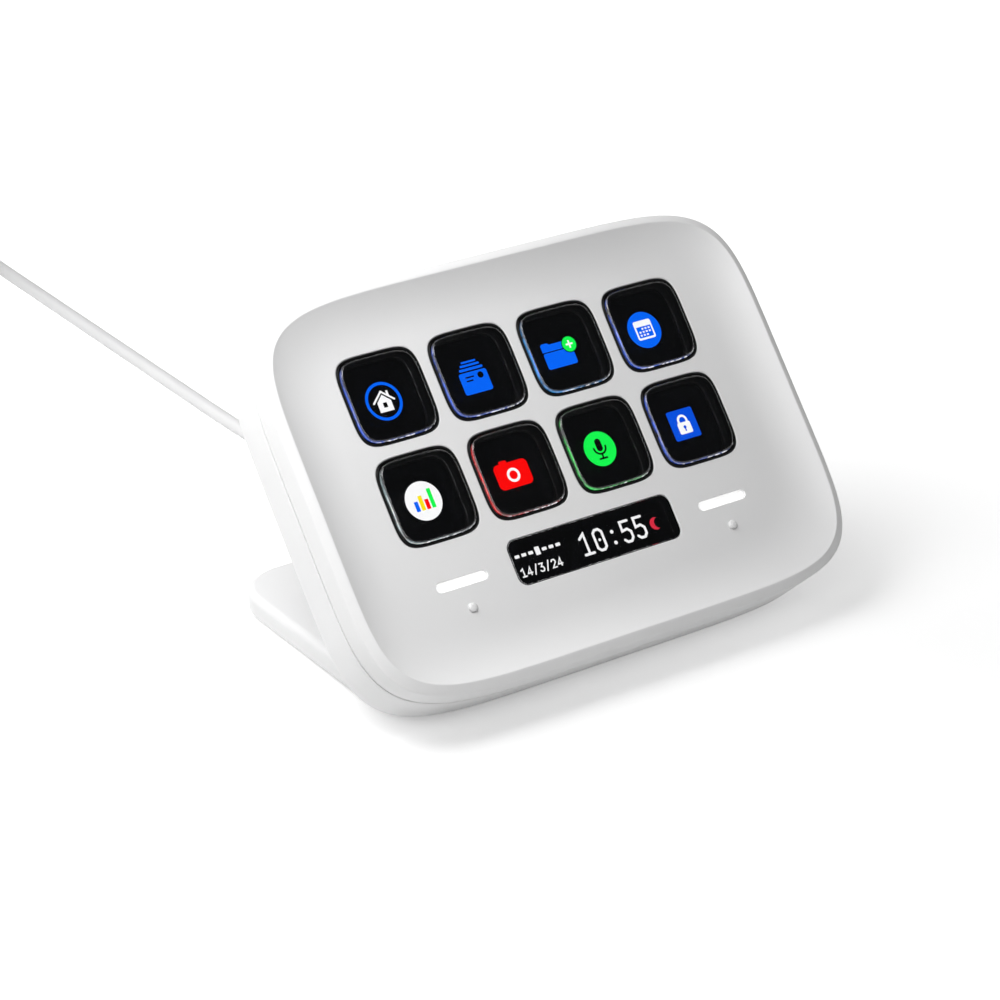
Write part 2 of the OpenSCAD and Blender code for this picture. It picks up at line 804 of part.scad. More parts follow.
pad_corner = 3;
module stand() {
    panel_room = 4 * casing_b;
    color("white") difference() {
        union() {
            stand_slab();
            on_panel() translate([0, (pad_low + pad_high) / 2 - 1, 0])
                plate(pad_w / 2, (pad_high - pad_low) / 2 + 1, pad_corner, back_z - pad_t, back_z);
        }
        on_panel() translate([-stand_w, -panel_room, back_z])
            cube([2 * stand_w, 2 * panel_room, panel_room]);
        on_panel() for (p = stand_screw_places) post(p, pilot_r, stand_tip_z - screw_gap, back_z + 1);
        foot_plate(-recess_gap, 0, foot_top);
        foot_plate(weight_in - recess_gap, 0, weight_top);
    }
}

module stand_weight() {
    color("slategray") foot_plate(weight_in, foot_top, weight_top);
}

module foot_pad() {
    color("dimgray") foot_plate(0, 0, foot_top);
}

// ------------------------------------------------------------------ cable

tip_round = 0.4;
tip_chamfer = 0.6;
// Tapered strain relief through the back wall, with a collar inside
module cable_relief() {
    color("whitesmoke") on_panel() translate([0, exit_y, back_z]) rotate_extrude() polygon([
        [0, -relief_l], [cable_r, -relief_l], [cable_r + tip_round, -relief_l + tip_chamfer],
        [relief_r, 0], [relief_r, back_wall], [collar_r, back_wall],
        [collar_r, back_wall + collar_t], [0, back_wall + collar_t]
    ]);
}

module usb_cable() {
    color("whitesmoke") swept_tube(concat([relief_tip, exit_lead], ROUTE), cable_r);
}

coil_corner = 0.9;
tie_place = 180;
module coil_section(grow) {
    a = (coil_out - coil_in) / 2 + grow;
    b = (coil_top - coil_z) / 2 + grow;
    translate([(coil_in + coil_out) / 2, (coil_top + coil_z) / 2])
        polygon(round_rect(a, b, coil_corner + grow, 4));
}

module cable_coil() {
    color("whitesmoke") translate([coil_x, coil_y, 0]) rotate_extrude($fn = 72) coil_section(0);
}

module cable_tie() {
    color("dimgray") translate([coil_x, coil_y, 0]) rotate([0, 0, tie_place - tie_angle / 2])
        rotate_extrude(angle = tie_angle) difference() {
            coil_section(tie_gap + tie_t);
            coil_section(tie_gap);
        }
}

module plug_lead() {
    color("whitesmoke") translate([coil_x, coil_y, 0]) swept_tube(LEAD, cable_r);
}

// Turns children with their +X towards the plug's open end
module at_plug() {
    translate([plug_x, plug_y, plug_z]) rotate([0, 0, 180]) children();
}

plug_flare = 0.8;
plug_flat = 0.6;
shell_floor = 0.6;
module plug_body() {
    color("whitesmoke") at_plug() union() {
        rotate([0, 90, 0]) cylinder(r1 = cable_r, r2 = cable_r + plug_flare, h = plug_relief_l);
        translate([plug_relief_l - e, 0, 0]) rotate([90, 0, 90]) linear_extrude(plug_l)
            polygon(round_rect(plug_w / 2, plug_t / 2, plug_t / 2 - plug_flat, 6));
    }
}

module plug_shell() {
    color("silver") at_plug() translate([plug_relief_l + plug_l - e, 0, 0]) rotate([90, 0, 90])
        difference() {
            linear_extrude(usb_l) polygon(round_rect(usb_w / 2, usb_t / 2, usb_t / 2 - e, 8));
            translate([0, 0, shell_floor]) linear_extrude(usb_l) polygon(
                round_rect(usb_w / 2 - usb_wall, usb_t / 2 - usb_wall, usb_t / 2 - usb_wall - e, 8)
            );
        }
}

// ------------------------------------------------------------------ parts

front_bezel();
info_window();
light_bar(-1);  // light_bar_left
light_bar(1);  // light_bar_right
touch_sensor();
for (i = [1:8]) key_cap(i);
key_mat();
lcd_panel();
lcd_backlight();
lcd_flex();
display_carrier();
foam_pad();
main_board();
processor();
memory_chip();
lcd_connector();
cable_connector();
cable_leads();
carrier_screws();
rear_shell();
shell_screws();
stand();
stand_screws();
stand_weight();
foot_pad();
cable_relief();
usb_cable();
cable_coil();
cable_tie();
plug_lead();
plug_body();
plug_shell();
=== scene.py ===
import math

import bmesh
import bpy
from mathutils import Matrix, Vector
from mathutils.geometry import interpolate_bezier


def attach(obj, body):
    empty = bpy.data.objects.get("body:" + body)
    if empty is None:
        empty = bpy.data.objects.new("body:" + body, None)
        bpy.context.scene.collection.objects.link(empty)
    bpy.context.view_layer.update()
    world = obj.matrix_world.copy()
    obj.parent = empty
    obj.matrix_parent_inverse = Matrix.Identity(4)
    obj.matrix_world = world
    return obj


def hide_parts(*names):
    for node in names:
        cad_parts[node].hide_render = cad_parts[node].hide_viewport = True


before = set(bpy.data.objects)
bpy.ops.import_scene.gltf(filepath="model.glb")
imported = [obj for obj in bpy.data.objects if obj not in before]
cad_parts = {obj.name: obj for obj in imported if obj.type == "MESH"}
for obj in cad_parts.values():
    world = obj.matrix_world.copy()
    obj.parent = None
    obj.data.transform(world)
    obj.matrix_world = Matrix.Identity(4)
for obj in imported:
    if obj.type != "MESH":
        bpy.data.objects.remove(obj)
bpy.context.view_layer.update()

MM = 0.001

# ------------------------------------------------------------ sizes, in mm
# Heights on the panel count from its face; below zero is towards its back.

# The panel's middle, and its tilt from the desk
PANEL_Y, PANEL_Z, TILT = -3.41174, 43.1987, math.radians(49.5)

# Casing: half width and height, middle, and how square its outlines are from back to front
CASE_A, CASE_B, CASE_Y = 53.92, 38.945, -7.9
CASE_POWER, PARTING_POWER, CREST_POWER, DISH_POWER = 6.0, 5.6, 6.3, 5.0
RIM_H, RIM_W, RIM_ROUND, RIM_DROP, RIM_BLEND = 2.9, 2.3, 1.2, 0.09, 1.6
DISH_W, DISH_BEND, DRAFT = 9.5, 2.3, 0.4
WALL, PANEL_T, BEZEL_H, ROOF_RISE, ROOF_CORNER = 1.65, 1.5, 2.5, 0.175, 0.5
BACK_Z, BACK_ROUND, INNER_BACK, INNER_CORNER = -12.0, 2.0, -10.2, 1.0
# The rim from its outer wall, over a gentle slope and the crest, to the dish: three curves,
# each a knot, two handles and a knot, as inset and drop, and the steps along it
RIM = [
    (((DRAFT, RIM_ROUND), (DRAFT, 0.98), (0.62, 0.80), (0.95, 0.59)), 6),
    (((0.95, 0.59), (1.28, 0.38), (1.86, 0.036), (2.13, 0.036)), 10),
    (((2.13, 0.036), (2.20, 0.036), (2.26, 0.063), (RIM_W, RIM_DROP)), 3),
]
# The parting line: its width, the rounded lip on either side as inset and rise, and the
# rear shell's step that stands up inside the bezel's wall
PARTING_GAP, LIP_H = 0.48, 0.12
PARTING_LIP = [(0.2, 0.0), (0.09, 0.05), (0.02, 0.17)]
STEP_OUT, STEP_IN, STEP_H, STEP_ROOT, STEP_SLOPE = 1.8, 2.65, 1.3, 1.6, 0.8

# Keys: a black frame with a flange, a clear lens in it, and a light shield round it
KEY_W, KEY_H, KEY_POWER, PITCH, KEY_GAP, KEY_PROUD = 16.95, 16.8, 5.0, 19.5, 0.2, 0.5
FLANGE_TOP, FLANGE_BOTTOM, FLANGE_W, FLANGE_EDGE = -1.6, -2.6, 0.65, 0.1
FRAME_ROUND, FRAME_TOP, LENS_IN, LENS_ROUND = 0.25, 0.05, 0.42, 0.62
# The frame's inner edge, as clearance from the lens and drop from the frame's top
FRAME_LIP = [(0.14, 0.01), (0.08, 0.03), (0.05, 0.09)]
SHIELD_W, SHIELD_BACK, SHIELD_FRONT, SHIELD_TOP = 1.15, -1.58, -1.53, -0.1
SHIELD_IN, SHIELD_GAP, SHIELD_EDGE, SHIELD_SLOPE = 0.06, 0.03, 0.05, 0.02
KEYS = [((i % 4 - 1.5) * PITCH, (0.5 - i // 4) * PITCH) for i in range(8)]

# Clock window and light bars, with the lips that hold them behind the panel
WINDOW_W, WINDOW_H, WINDOW_ROUND, WINDOW_Y = 36.2, 8.55, 1.8, -26.05
WINDOW_EDGE = [(0.0, -0.25), (0.03, -0.12), (0.1, -0.03), (0.25, 0.0)]
BAR_X, BAR_Y, BAR_L, BAR_H, BAR_SINK = 29.2, -26.15, 10.7, 1.65, 0.3
BAR_EDGE_W, BAR_EDGE_H, BAR_FOOT = 0.35, 0.25, 0.2
HOLD_W, HOLD_FRONT, HOLD_BACK = 1.0, -1.52, -2.2

# Openings in the panel: clearance, depth, and the rounding of their edges
OPENING_GAP, OPENING_DEPTH, OPENING_EDGE, BAR_OPENING_EDGE, CUT_TOP = 0.1, 3.2, 0.22, 0.12, 0.6

# Touch dots: domes, each in a groove that is wider at its lower right
DOT_Y, DOT_R, DOT_H, DOT_WALL, DOT_FOOT = -31.15, 0.95, 0.6, 0.2, -0.6
DOME_SHARE, DOME_BEND, GROOVE_SHIFT = 0.87, 0.8, 0.09
GROOVE = [(0.02, -0.5), (0.02, -0.03), (0.08, 0.2)]

# Stand, and the pad that carries the panel
STAND_W, SLAB_FRONT, STAND_BACK, SLAB_TOP = 90.6, -23.7572, 35.2883, 5.1
STAND_CORNER, STAND_ROUND, FOOT_PROUD = 10.0, 1.5, 0.9
SLAB_EDGE = [(0.25, 0.0), (0.08, 0.06), (0.0, 0.25)]
PAD_W, PAD_T, PAD_LOW, PAD_HIGH = 44.0, 3.0, -39.8541, -30.85
PAD_CORNER, PAD_ROUND, PAD_OVERLAP = 3.0, 0.8, 0.5

# Case screws: places, wells in the rear shell, heads and their cross recess
CORNER_SCREWS = [(sx * 45.025, CASE_Y + sy * 29.05) for sx in (-1, 1) for sy in (-1, 1)]
SCREW_SEAT, SHANK_R, SHANK_L = 1.3, 0.95, 6.0
HEAD_R, HEAD_WALL, HEAD_DOME, HEAD_BEND = 1.9, 0.45, 0.44, 0.6
CROSS_L, CROSS_W, CROSS_DEPTH, CROSS_TAPER = 1.1, 0.24, 0.3, 0.6
WELL = [(2.32, -1.0), (2.32, 0.0), (2.2, 0.06), (2.1, 0.2), (2.1, SCREW_SEAT)]
CABLE_HOLE = [(3.6, -1.0), (3.6, 0.0), (3.35, 0.08), (3.25, 0.3), (3.25, INNER_BACK + 1 - BACK_Z)]

# Cable, strain relief and coil
CABLE_D, EXIT_Y = 3.0, -24.0
RELIEF_L, RELIEF_R, RELIEF_ROOT, RELIEF_TIP = 9.0, 3.2, -0.5, CABLE_D / 2 + 0.4
RELIEF_HEAD_R, RELIEF_HEAD_LOW, RELIEF_HEAD_TOP = 4.4, 1.8, 2.78
RIBS, RIB_FIRST, RIB_PITCH, RIB_GAP = 5, 1.1, 1.45, 0.75
RIB_DEPTH, RIB_EDGE, RIB_FLOOR = 0.35, 0.1, (0.22, 0.5)
COIL_X, COIL_Y, COIL_Z, COIL_TOP, COIL_IN, COIL_OUT = -26.0, 240.0, 0.85, 12.85, 13.5, 22.5
COIL_RADII, COIL_LAYERS, COIL_FIRST, COIL_STEP = (20.99, 18, 15), 4, 2.35, 15
TIE_GAP, TIE_T, TIE_ANGLE, TIE_W, TIE_EDGE, TIE_CORNER = 0.05, 0.8, 20.0, 6.13, 0.15, 0.9

# Plug: boot, grip, metal shell, tongue and contacts
PLUG_AT, PLUG_W, PLUG_T, PLUG_L = (-19.0, 256.0, 16.0), 11.4, 6.2, 18.0
PLUG_RELIEF, BOOT_GROWS, BOOT_GROOVE, PLUG_BACK, PLUG_FRONT, PLUG_FLAT = 7.0, 0.8, 0.25, 1.2, 0.5, 0.6
USB_W, USB_T, USB_L, USB_WALL = 8.34, 2.56, 6.65, 0.3
# The metal shell's lip from outside to inside: inset, and how far it stays back
USB_LIP = [(0.0, 0.15), (0.05, 0.04), (0.12, 0.0), (USB_WALL - 0.08, 0.0), (USB_WALL, 0.1)]
TONGUE_A, TONGUE_B, TONGUE_BACK, TONGUE_FRONT, TONGUE_CORNER, TONGUE_EDGE = 3.35, 0.35, 0.6, 1.05, 0.2, 0.15
CONTACTS, CONTACT_PITCH, CONTACT_W, CONTACT_T, CONTACT_Z = 12, 0.5, 0.26, 0.05, 0.34
CONTACT_BACK, CONTACT_FRONT = 0.8, 1.4

# The display: its glass, and the thin layers of what it shows
DISPLAY_Z, LAYER_GAP, LAYER_STEP, LAYER_T, SYMBOL_X = -4.2, 0.02, 0.03, 0.02, 0.5

FLAT = Matrix.Scale(MM, 4)
PANEL = (
    Matrix.Translation(Vector((0, PANEL_Y, PANEL_Z)) * MM)
    @ Matrix.Rotation(TILT, 4, "X") @ FLAT
)
PLUG = Matrix.Translation(Vector(PLUG_AT) * MM) @ Matrix.Rotation(math.pi, 4, "Z") @ FLAT


def panel_point(x, y, z):
    return (PANEL @ Vector((x, y, z))) / MM


# ------------------------------------------------------------------ camera

VIEW_SIDE, VIEW_DOWN = math.radians(34.61), math.radians(25.73)
VIEW_FAR, VIEW_LEFT, VIEW_LOW = 568.9, 7.717, 16.806
FOCAL_LENGTH, SENSOR_WIDTH = 112.0, 36.0


def make_camera():
    """Camera to the left in front of the keypad, looking down at it."""
    level = math.cos(VIEW_DOWN)
    forward = Vector((math.sin(VIEW_SIDE) * level, math.cos(VIEW_SIDE) * level, -math.sin(VIEW_DOWN)))
    right = Vector((math.cos(VIEW_SIDE), -math.sin(VIEW_SIDE), 0))
    up = right.cross(forward)
    middle = Vector((0, PANEL_Y, PANEL_Z))
    place = middle - VIEW_FAR * forward - VIEW_LEFT * right - VIEW_LOW * up
    data = bpy.data.cameras.new("camera")
    data.lens, data.sensor_width = FOCAL_LENGTH, SENSOR_WIDTH
    data.clip_start, data.clip_end = 0.01, 20.0
    camera = bpy.data.objects.new("camera", data)
    turn = Matrix((right, up, -forward)).transposed().to_4x4()
    camera.matrix_world = Matrix.Translation(place * MM) @ turn
    bpy.context.scene.collection.objects.link(camera)
    bpy.context.scene.camera = camera


make_camera()

# ------------------------------------------------------------ shader nodes

def node(tree, kind, **sockets):
    """A new node with some sockets set; an underscore stands for a space in their names."""
    made = tree.nodes.new(kind)
    for name, value in sockets.items():
        made.inputs[name.replace("_", " ")].default_value = value
    return made


def feed(tree, sockets, values):
    """Sets each socket to its value, or links it where the value is another node's output."""
    for socket, value in zip(sockets, values):
        if isinstance(value, bpy.types.NodeSocket):
            tree.links.new(value, socket)
        else:
            socket.default_value = value


def calc(tree, operation, *values):
    made = tree.nodes.new("ShaderNodeMath")
    made.operation = operation
    feed(tree, made.inputs, values)
    return made.outputs["Value"]


def vector_calc(tree, operation, *values, result="Vector"):
    made = tree.nodes.new("ShaderNodeVectorMath")
    made.operation = operation
    feed(tree, made.inputs, values)
    return made.outputs[result]


def span(tree, value, low, high, start=0.0, end=1.0, kind="LINEAR"):
    """The value, taken from low to high over to start to end, and held there."""
    made = node(tree, "ShaderNodeMapRange", From_Min=low, From_Max=high, To_Min=start, To_Max=end)
    made.interpolation_type = kind
    tree.links.new(value, made.inputs["Value"])
    return made.outputs["Result"]


def mixed(tree, share, first, second):
    """A colour between two, the second one where share is 1."""
    made = tree.nodes.new("ShaderNodeMix")
    made.data_type = "RGBA"
    feed(tree, (made.inputs[0], made.inputs[6], made.inputs[7]), (share, first, second))
    return made.outputs[2]


def object_noise(tree, **sockets):
    """Noise fixed to the object."""
    at = tree.nodes.new("ShaderNodeTexCoord")
    made = node(tree, "ShaderNodeTexNoise", **sockets)
    tree.links.new(at.outputs["Object"], made.inputs["Vector"])
    return made


def new_group(name, inputs, outputs):
    group = bpy.data.node_groups.new(name, "ShaderNodeTree")
    for direction, sockets in (("INPUT", inputs), ("OUTPUT", outputs)):
        for label, kind in sockets.items():
            group.interface.new_socket(label, in_out=direction, socket_type="NodeSocket" + kind)
    return group, group.nodes.new("NodeGroupInput").outputs, group.nodes.new("NodeGroupOutput").inputs


def placed(tree, group, **sockets):
    """A group in a material, with its own values."""
    made = tree.nodes.new("ShaderNodeGroup")
    made.node_tree = group
    for name, value in sockets.items():
        made.inputs[name].default_value = value
    return made


def make_grain_group():
    """Fine grain: a bumped normal and the grain's own value."""
    g, given, out = new_group(
        "fine_grain", {"Scale": "Float", "Depth": "Float"}, {"Normal": "Vector", "Value": "Float"})
    noise = object_noise(g, Detail=3.0, Roughness=0.6)
    bump = node(g, "ShaderNodeBump", Strength=1.0)
    g.links.new(given["Scale"], noise.inputs["Scale"])
    g.links.new(noise.outputs["Fac"], bump.inputs["Height"])
    g.links.new(given["Depth"], bump.inputs["Distance"])
    g.links.new(bump.outputs["Normal"], out["Normal"])
    g.links.new(noise.outputs["Fac"], out["Value"])
    return g


def make_patch_group():
    """Broad, soft patches between two colours, for uneven tone and wear."""
    g, given, out = new_group(
        "soft_patches", {"Scale": "Float", "Main": "Color", "Other": "Color"},
        {"Color": "Color", "Mask": "Float"})
    noise = object_noise(g, Detail=2.0)
    g.links.new(given["Scale"], noise.inputs["Scale"])
    mask = span(g, noise.outputs["Fac"], 0.35, 0.65)
    g.links.new(mixed(g, mask, given["Main"], given["Other"]), out["Color"])
    g.links.new(mask, out["Mask"])
    return g


# Where a lens's edge gets painted glow and painted glints: the way it faces, the reach of that, the noise's
# scale and share
PAINTED_EDGE_SIDES = {
    "Glow": ((-0.82, -0.37, -0.43), (0.12, 0.85), 420.0, (0.36, 0.62)),
    "Glint": ((0.50, -0.562, -0.658), (0.60, 0.85), 1500.0, (0.50, 0.56)),
}


def make_painted_edge_group():
    """Painted light in a lens's edge: a streaky painted glow at its lower left, pale painted glints at its
    lower right.
    """
    g, given, out = new_group(
        "painted_edge_light", {"Glow": "Color", "Glint": "Color", "Inside": "Float"}, {"Color": "Color"})
    shape = g.nodes.new("ShaderNodeNewGeometry")
    # the normal turns over where the edge is seen from inside the lens
    turn = calc(g, "MULTIPLY_ADD", given["Inside"], -2.0, 1.0)
    outward = g.nodes.new("ShaderNodeVectorMath")
    outward.operation = "SCALE"
    feed(g, (outward.inputs["Vector"], outward.inputs["Scale"]), (shape.outputs["Normal"], turn))
    colour = (0, 0, 0, 1)
    for name, (toward, reach, scale, pick) in PAINTED_EDGE_SIDES.items():
        side = vector_calc(g, "DOT_PRODUCT", outward.outputs["Vector"], toward, result="Value")
        noise = object_noise(g, Scale=scale, Detail=3.0, Roughness=0.6)
        share = calc(g, "MULTIPLY", span(g, side, *reach), span(g, noise.outputs["Fac"], *pick))
        colour = mixed(g, share, colour, given[name])
    g.links.new(colour, out["Color"])
    return g


GRAIN, PATCHES, PAINTED_EDGE_LIGHT = make_grain_group(), make_patch_group(), make_painted_edge_group()

# --------------------------------------------------------------- materials

def surface(name, main, other, rough, grain=2500.0, depth=3e-6, patch=40.0, spread=0.05, **fixed):
    """A solid material: two close tones, grain in its roughness and a fine bump."""
    m = bpy.data.materials.new(name)
    m.use_nodes = True
    tree = m.node_tree
    shader = tree.nodes["Principled BSDF"]
    for label, value in fixed.items():
        shader.inputs[label.replace("_", " ")].default_value = value
    tone = placed(tree, PATCHES, Scale=patch, Main=(*main, 1), Other=(*other, 1))
    fine = placed(tree, GRAIN, Scale=grain, Depth=depth)
    gloss = span(tree, fine.outputs["Value"], 0.0, 1.0, max(rough - spread, 0.0), rough + spread)
    tree.links.new(tone.outputs["Color"], shader.inputs["Base Color"])
    tree.links.new(gloss, shader.inputs["Roughness"])
    tree.links.new(fine.outputs["Normal"], shader.inputs["Normal"])
    return m


def clear(name, tint):
    """Clear plastic, its gloss very slightly uneven."""
    return surface(name, tint, tuple(0.985 * t for t in tint), 0.02, grain=60.0, depth=2e-8, patch=90.0,
                   spread=0.008, Transmission_Weight=1.0, IOR=1.49, Specular_IOR_Level=0.3)


def painted_edge_glow(name, colour):
    """Clear edge with a painted glow in the colour of the symbol below it, and fine pale painted glints."""
    m = clear(name, KEY_TINT)
    tree = m.node_tree
    shader = tree.nodes["Principled BSDF"]
    shape = tree.nodes.new("ShaderNodeNewGeometry")
    light = placed(tree, PAINTED_EDGE_LIGHT, Glow=(*colour, 1), Glint=(1.0, 1.0, 1.05, 1))
    tree.links.new(shape.outputs["Backfacing"], light.inputs["Inside"])
    tree.links.new(light.outputs["Color"], shader.inputs["Emission Color"])
    shader.inputs["Emission Strength"].default_value = 1.0
    return m


def lit(name, colour):
    """A lit part of the display: a fine grid of picture cells in the light."""
    m = surface(name, tuple(0.2 * c for c in colour), tuple(0.18 * c for c in colour), 0.4,
                Specular_IOR_Level=0.0, Emission_Strength=1.0)
    tree = m.node_tree
    at = tree.nodes.new("ShaderNodeTexCoord")
    cells = node(tree, "ShaderNodeTexBrick", Scale=1.0, Mortar_Size=CELL_LINE, Brick_Width=CELL,
                 Row_Height=CELL, Color1=(*colour, 1), Color2=(*colour, 1),
                 Mortar=(*(0.9 * c for c in colour), 1))
    cells.offset = 0.0
    tree.links.new(at.outputs["Object"], cells.inputs["Vector"])
    tree.links.new(cells.outputs["Color"], tree.nodes["Principled BSDF"].inputs["Emission Color"])
    return m


CELL, CELL_LINE = 0.1 * MM, 0.012 * MM
KEY_TINT = (0.97, 0.975, 0.98)
WHITE = (0.87, 0.87, 0.87)
# The faint light that an unlit display gives off; on the key mat and the black paint it is a painted glow
BLACK_LEVEL_AND_PAINTED_GLOW = {"Emission_Color": (0.9, 0.95, 1, 1), "Emission_Strength": 0.004}

MAT = {
    "casing": surface("casing_white", WHITE, (0.855, 0.855, 0.857), 0.40, Specular_IOR_Level=0.25),
    "casing_back": surface("casing_back_white", WHITE, (0.85, 0.85, 0.853), 0.46, depth=5e-6),
    "stand": surface("stand_white", WHITE, (0.85, 0.85, 0.853), 0.45, depth=5e-6),
    "key": clear("key_clear", KEY_TINT),
    "lens": clear("window_clear", (0.93, 0.935, 0.94)),
    "shield": surface("shield_black", (0.004, 0.004, 0.004), (0.003, 0.003, 0.003), 0.45),
    "frame": surface("frame_gloss_black", (0.003, 0.003, 0.003), (0.002, 0.002, 0.002), 0.12, depth=1e-6,
                     Specular_IOR_Level=0.12),
    "display": surface("display_black", (0.002, 0.002, 0.003), (0.001, 0.001, 0.002), 0.15, depth=2e-7,
                       Specular_IOR_Level=0.1, **BLACK_LEVEL_AND_PAINTED_GLOW),
    "bar": surface("light_guide", (0.93, 0.93, 0.93), (0.90, 0.90, 0.90), 0.25, depth=1e-6,
                   Emission_Color=(1, 1, 1, 1), Emission_Strength=0.45),
    # the rubber mat's faint glow is painted light
    "mat": surface("mat_rubber", (0.004, 0.004, 0.004), (0.003, 0.003, 0.003), 0.7,
                   Specular_IOR_Level=0.05, **BLACK_LEVEL_AND_PAINTED_GLOW),
    "film": surface("flex_film", (0.45, 0.16, 0.03), (0.52, 0.20, 0.04), 0.35),
    "foam": surface("foam_black", (0.02, 0.02, 0.02), (0.03, 0.03, 0.03), 0.9, grain=1500, depth=8e-5),
    "tray": surface("tray_metal", (0.55, 0.55, 0.57), (0.60, 0.60, 0.62), 0.35, Metallic=1.0),
    "carrier": surface("carrier_grey", (0.10, 0.10, 0.105), (0.12, 0.12, 0.125), 0.55),
    "board": surface("board_green", (0.004, 0.05, 0.018), (0.008, 0.075, 0.028), 0.35, patch=600.0),
    "chip": surface("chip_black", (0.012, 0.012, 0.013), (0.018, 0.018, 0.019), 0.6, depth=8e-6),
    "ivory": surface("connector_ivory", (0.72, 0.68, 0.55), (0.68, 0.63, 0.50), 0.45),
    "wire": surface("wire_red", (0.35, 0.01, 0.008), (0.40, 0.015, 0.01), 0.4),
    "steel": surface("screw_steel", (0.50, 0.50, 0.52), (0.44, 0.44, 0.46), 0.28, grain=6000.0, Metallic=1.0),
    "weight": surface("weight_steel", (0.32, 0.32, 0.33), (0.38, 0.37, 0.36), 0.4, Metallic=1.0),
    "foot": surface("foot_rubber", (0.035, 0.035, 0.037), (0.045, 0.045, 0.046), 0.75, depth=2e-5),
    "cable": surface("cable_white", WHITE, (0.84, 0.84, 0.845), 0.5, grain=4000.0, depth=4e-6),
    "tie": surface("tie_grey", (0.07, 0.07, 0.075), (0.10, 0.10, 0.105), 0.85, grain=5000.0, depth=5e-5),
    "plug": surface("plug_white", WHITE, (0.85, 0.85, 0.855), 0.4),
    "usb": surface("plug_metal", (0.62, 0.62, 0.63), (0.55, 0.55, 0.56), 0.22, grain=8000.0, Metallic=1.0),
    "tongue": surface("plug_tongue", (0.015, 0.015, 0.015), (0.02, 0.02, 0.02), 0.5),
    "gold": surface("contact_gold", (0.83, 0.55, 0.16), (0.76, 0.48, 0.13), 0.25, Metallic=1.0),
    "white": lit("lit_white", (1.0, 1.0, 1.0)),
    "blue": lit("lit_blue", (0.003, 0.135, 0.95)),
    "deep_blue": lit("lit_deep_blue", (0.004, 0.085, 0.75)),
    "green": lit("lit_green", (0.010, 0.95, 0.085)),
    "red": lit("lit_red", (1.0, 0.004, 0.004)),
    "rose": lit("lit_rose", (0.72, 0.030, 0.060)),
    "yellow": lit("lit_yellow", (1.0, 0.80, 0.01)),
    # the keys' lens edges: painted glow and painted glints
    "blue_edge": painted_edge_glow("key_painted_glow_blue", (0.01, 0.08, 0.60)),
    "sky_edge": painted_edge_glow("key_painted_glow_sky", (0.02, 0.24, 0.62)),
    "red_edge": painted_edge_glow("key_painted_glow_red", (0.62, 0.005, 0.01)),
    "green_edge": painted_edge_glow("key_painted_glow_green", (0.01, 0.50, 0.06)),
    "pale_edge": painted_edge_glow("key_painted_glow_pale", (0.22, 0.30, 0.32)),
    # on the lens sides this black's faint glow is painted light
    "dark": surface("unlit_black", (0.001, 0.001, 0.001), (0.002, 0.002, 0.002), 0.5,
                    Specular_IOR_Level=0.0, **BLACK_LEVEL_AND_PAINTED_GLOW),
}

# ----------------------------------------------------------- mesh builders

BEND_WEIGHT = 1.2


def squircle(a, b, power, directions):
    """Points of |x/a|^p + |y/b|^p = 1 in the given directions."""
    out = []
    for w in directions:
        c, s = math.cos(w), math.sin(w)
        r = (abs(c / a) ** power + abs(s / b) ** power) ** (-1 / power)
        out.append((r * c, r * s))
    return out


def directions_for(a, b, power, n):
    """n directions round a squircle, closer together where it turns."""
    fine = 2880
    all_ways = [2 * math.pi * i / fine for i in range(fine + 1)]
    pts = [Vector(p) for p in squircle(a, b, power, all_ways)]
    total = sum((pts[i + 1] - pts[i]).length for i in range(fine))
    at = [0.0]
    for i in range(fine):
        step = pts[i + 1] - pts[i]
        before = pts[i] - pts[i - 1 if i else fine - 1]
        bend = abs(before.angle(step)) / (2 * math.pi)
        at.append(at[-1] + step.length / total + BEND_WEIGHT * bend)
    out, j = [], 0
    for k in range(n):
        want = at[-1] * k / n
        while at[j + 1] < want:
            j += 1
        share = (want - at[j]) / (at[j + 1] - at[j])
        out.append(all_ways[j] + share * (all_ways[j + 1] - all_ways[j]))
    return out


def round_rect(a, b, r, k=8, x=0.0, y=0.0):
    """Rectangle outline (half sizes a, b) with corners of radius r."""
    out = []
    for q, (sx, sy) in enumerate(((1, 1), (-1, 1), (-1, -1), (1, -1))):
        for i in range(k + 1):
            w = math.pi / 2 * (q + i / k)
            out.append((x + sx * (a - r) + r * math.cos(w), y + sy * (b - r) + r * math.sin(w)))
    return out


def arc(x, y, r, start, end, n=12):
    """Points along an arc, its angles in degrees."""
    turns = [math.radians(start + (end - start) * i / n) for i in range(n + 1)]
    return [(x + r * math.cos(w), y + r * math.sin(w)) for w in turns]


def disc(x, y, r, n=48):
    return [(x + r * math.cos(2 * math.pi * i / n), y + r * math.sin(2 * math.pi * i / n)) for i in range(n)]


def quarter(n):
    """A quarter round in n steps from upright to level, as shares of its radius: how far in it
    has come, and how far down it still is."""
    turns = [math.pi / 2 * i / n for i in range(n + 1)]
    return [(1 - math.cos(w), 1 - math.sin(w)) for w in turns]


def at_z(outline, z):
    return [(x, y, z) for x, y in outline]


def loft(rings, closed=False):
    """Vertices and faces through rings of equally many points, capped unless closed."""
    n, k = len(rings[0]), len(rings)
    verts = [p for ring in rings for p in ring]
    faces = []
    for j in range(k if closed else k - 1):
        for i in range(n):
            p, q = j * n, (j + 1) % k * n
            faces.append((p + i, p + (i + 1) % n, q + (i + 1) % n, q + i))
    if not closed:
        faces.append(tuple(range(n))[::-1])
        faces.append(tuple((k - 1) * n + i for i in range(n)))
    return verts, faces


def lathe(profile, n=48):
    """Solid turned about Z from (radius, height) pairs, flat at both ends."""
    return loft([at_z(disc(0, 0, r, n), z) for r, z in profile])


def moved(shape, x, y):
    verts, faces = shape
    return [(px + x, py + y, pz) for px, py, pz in verts], faces


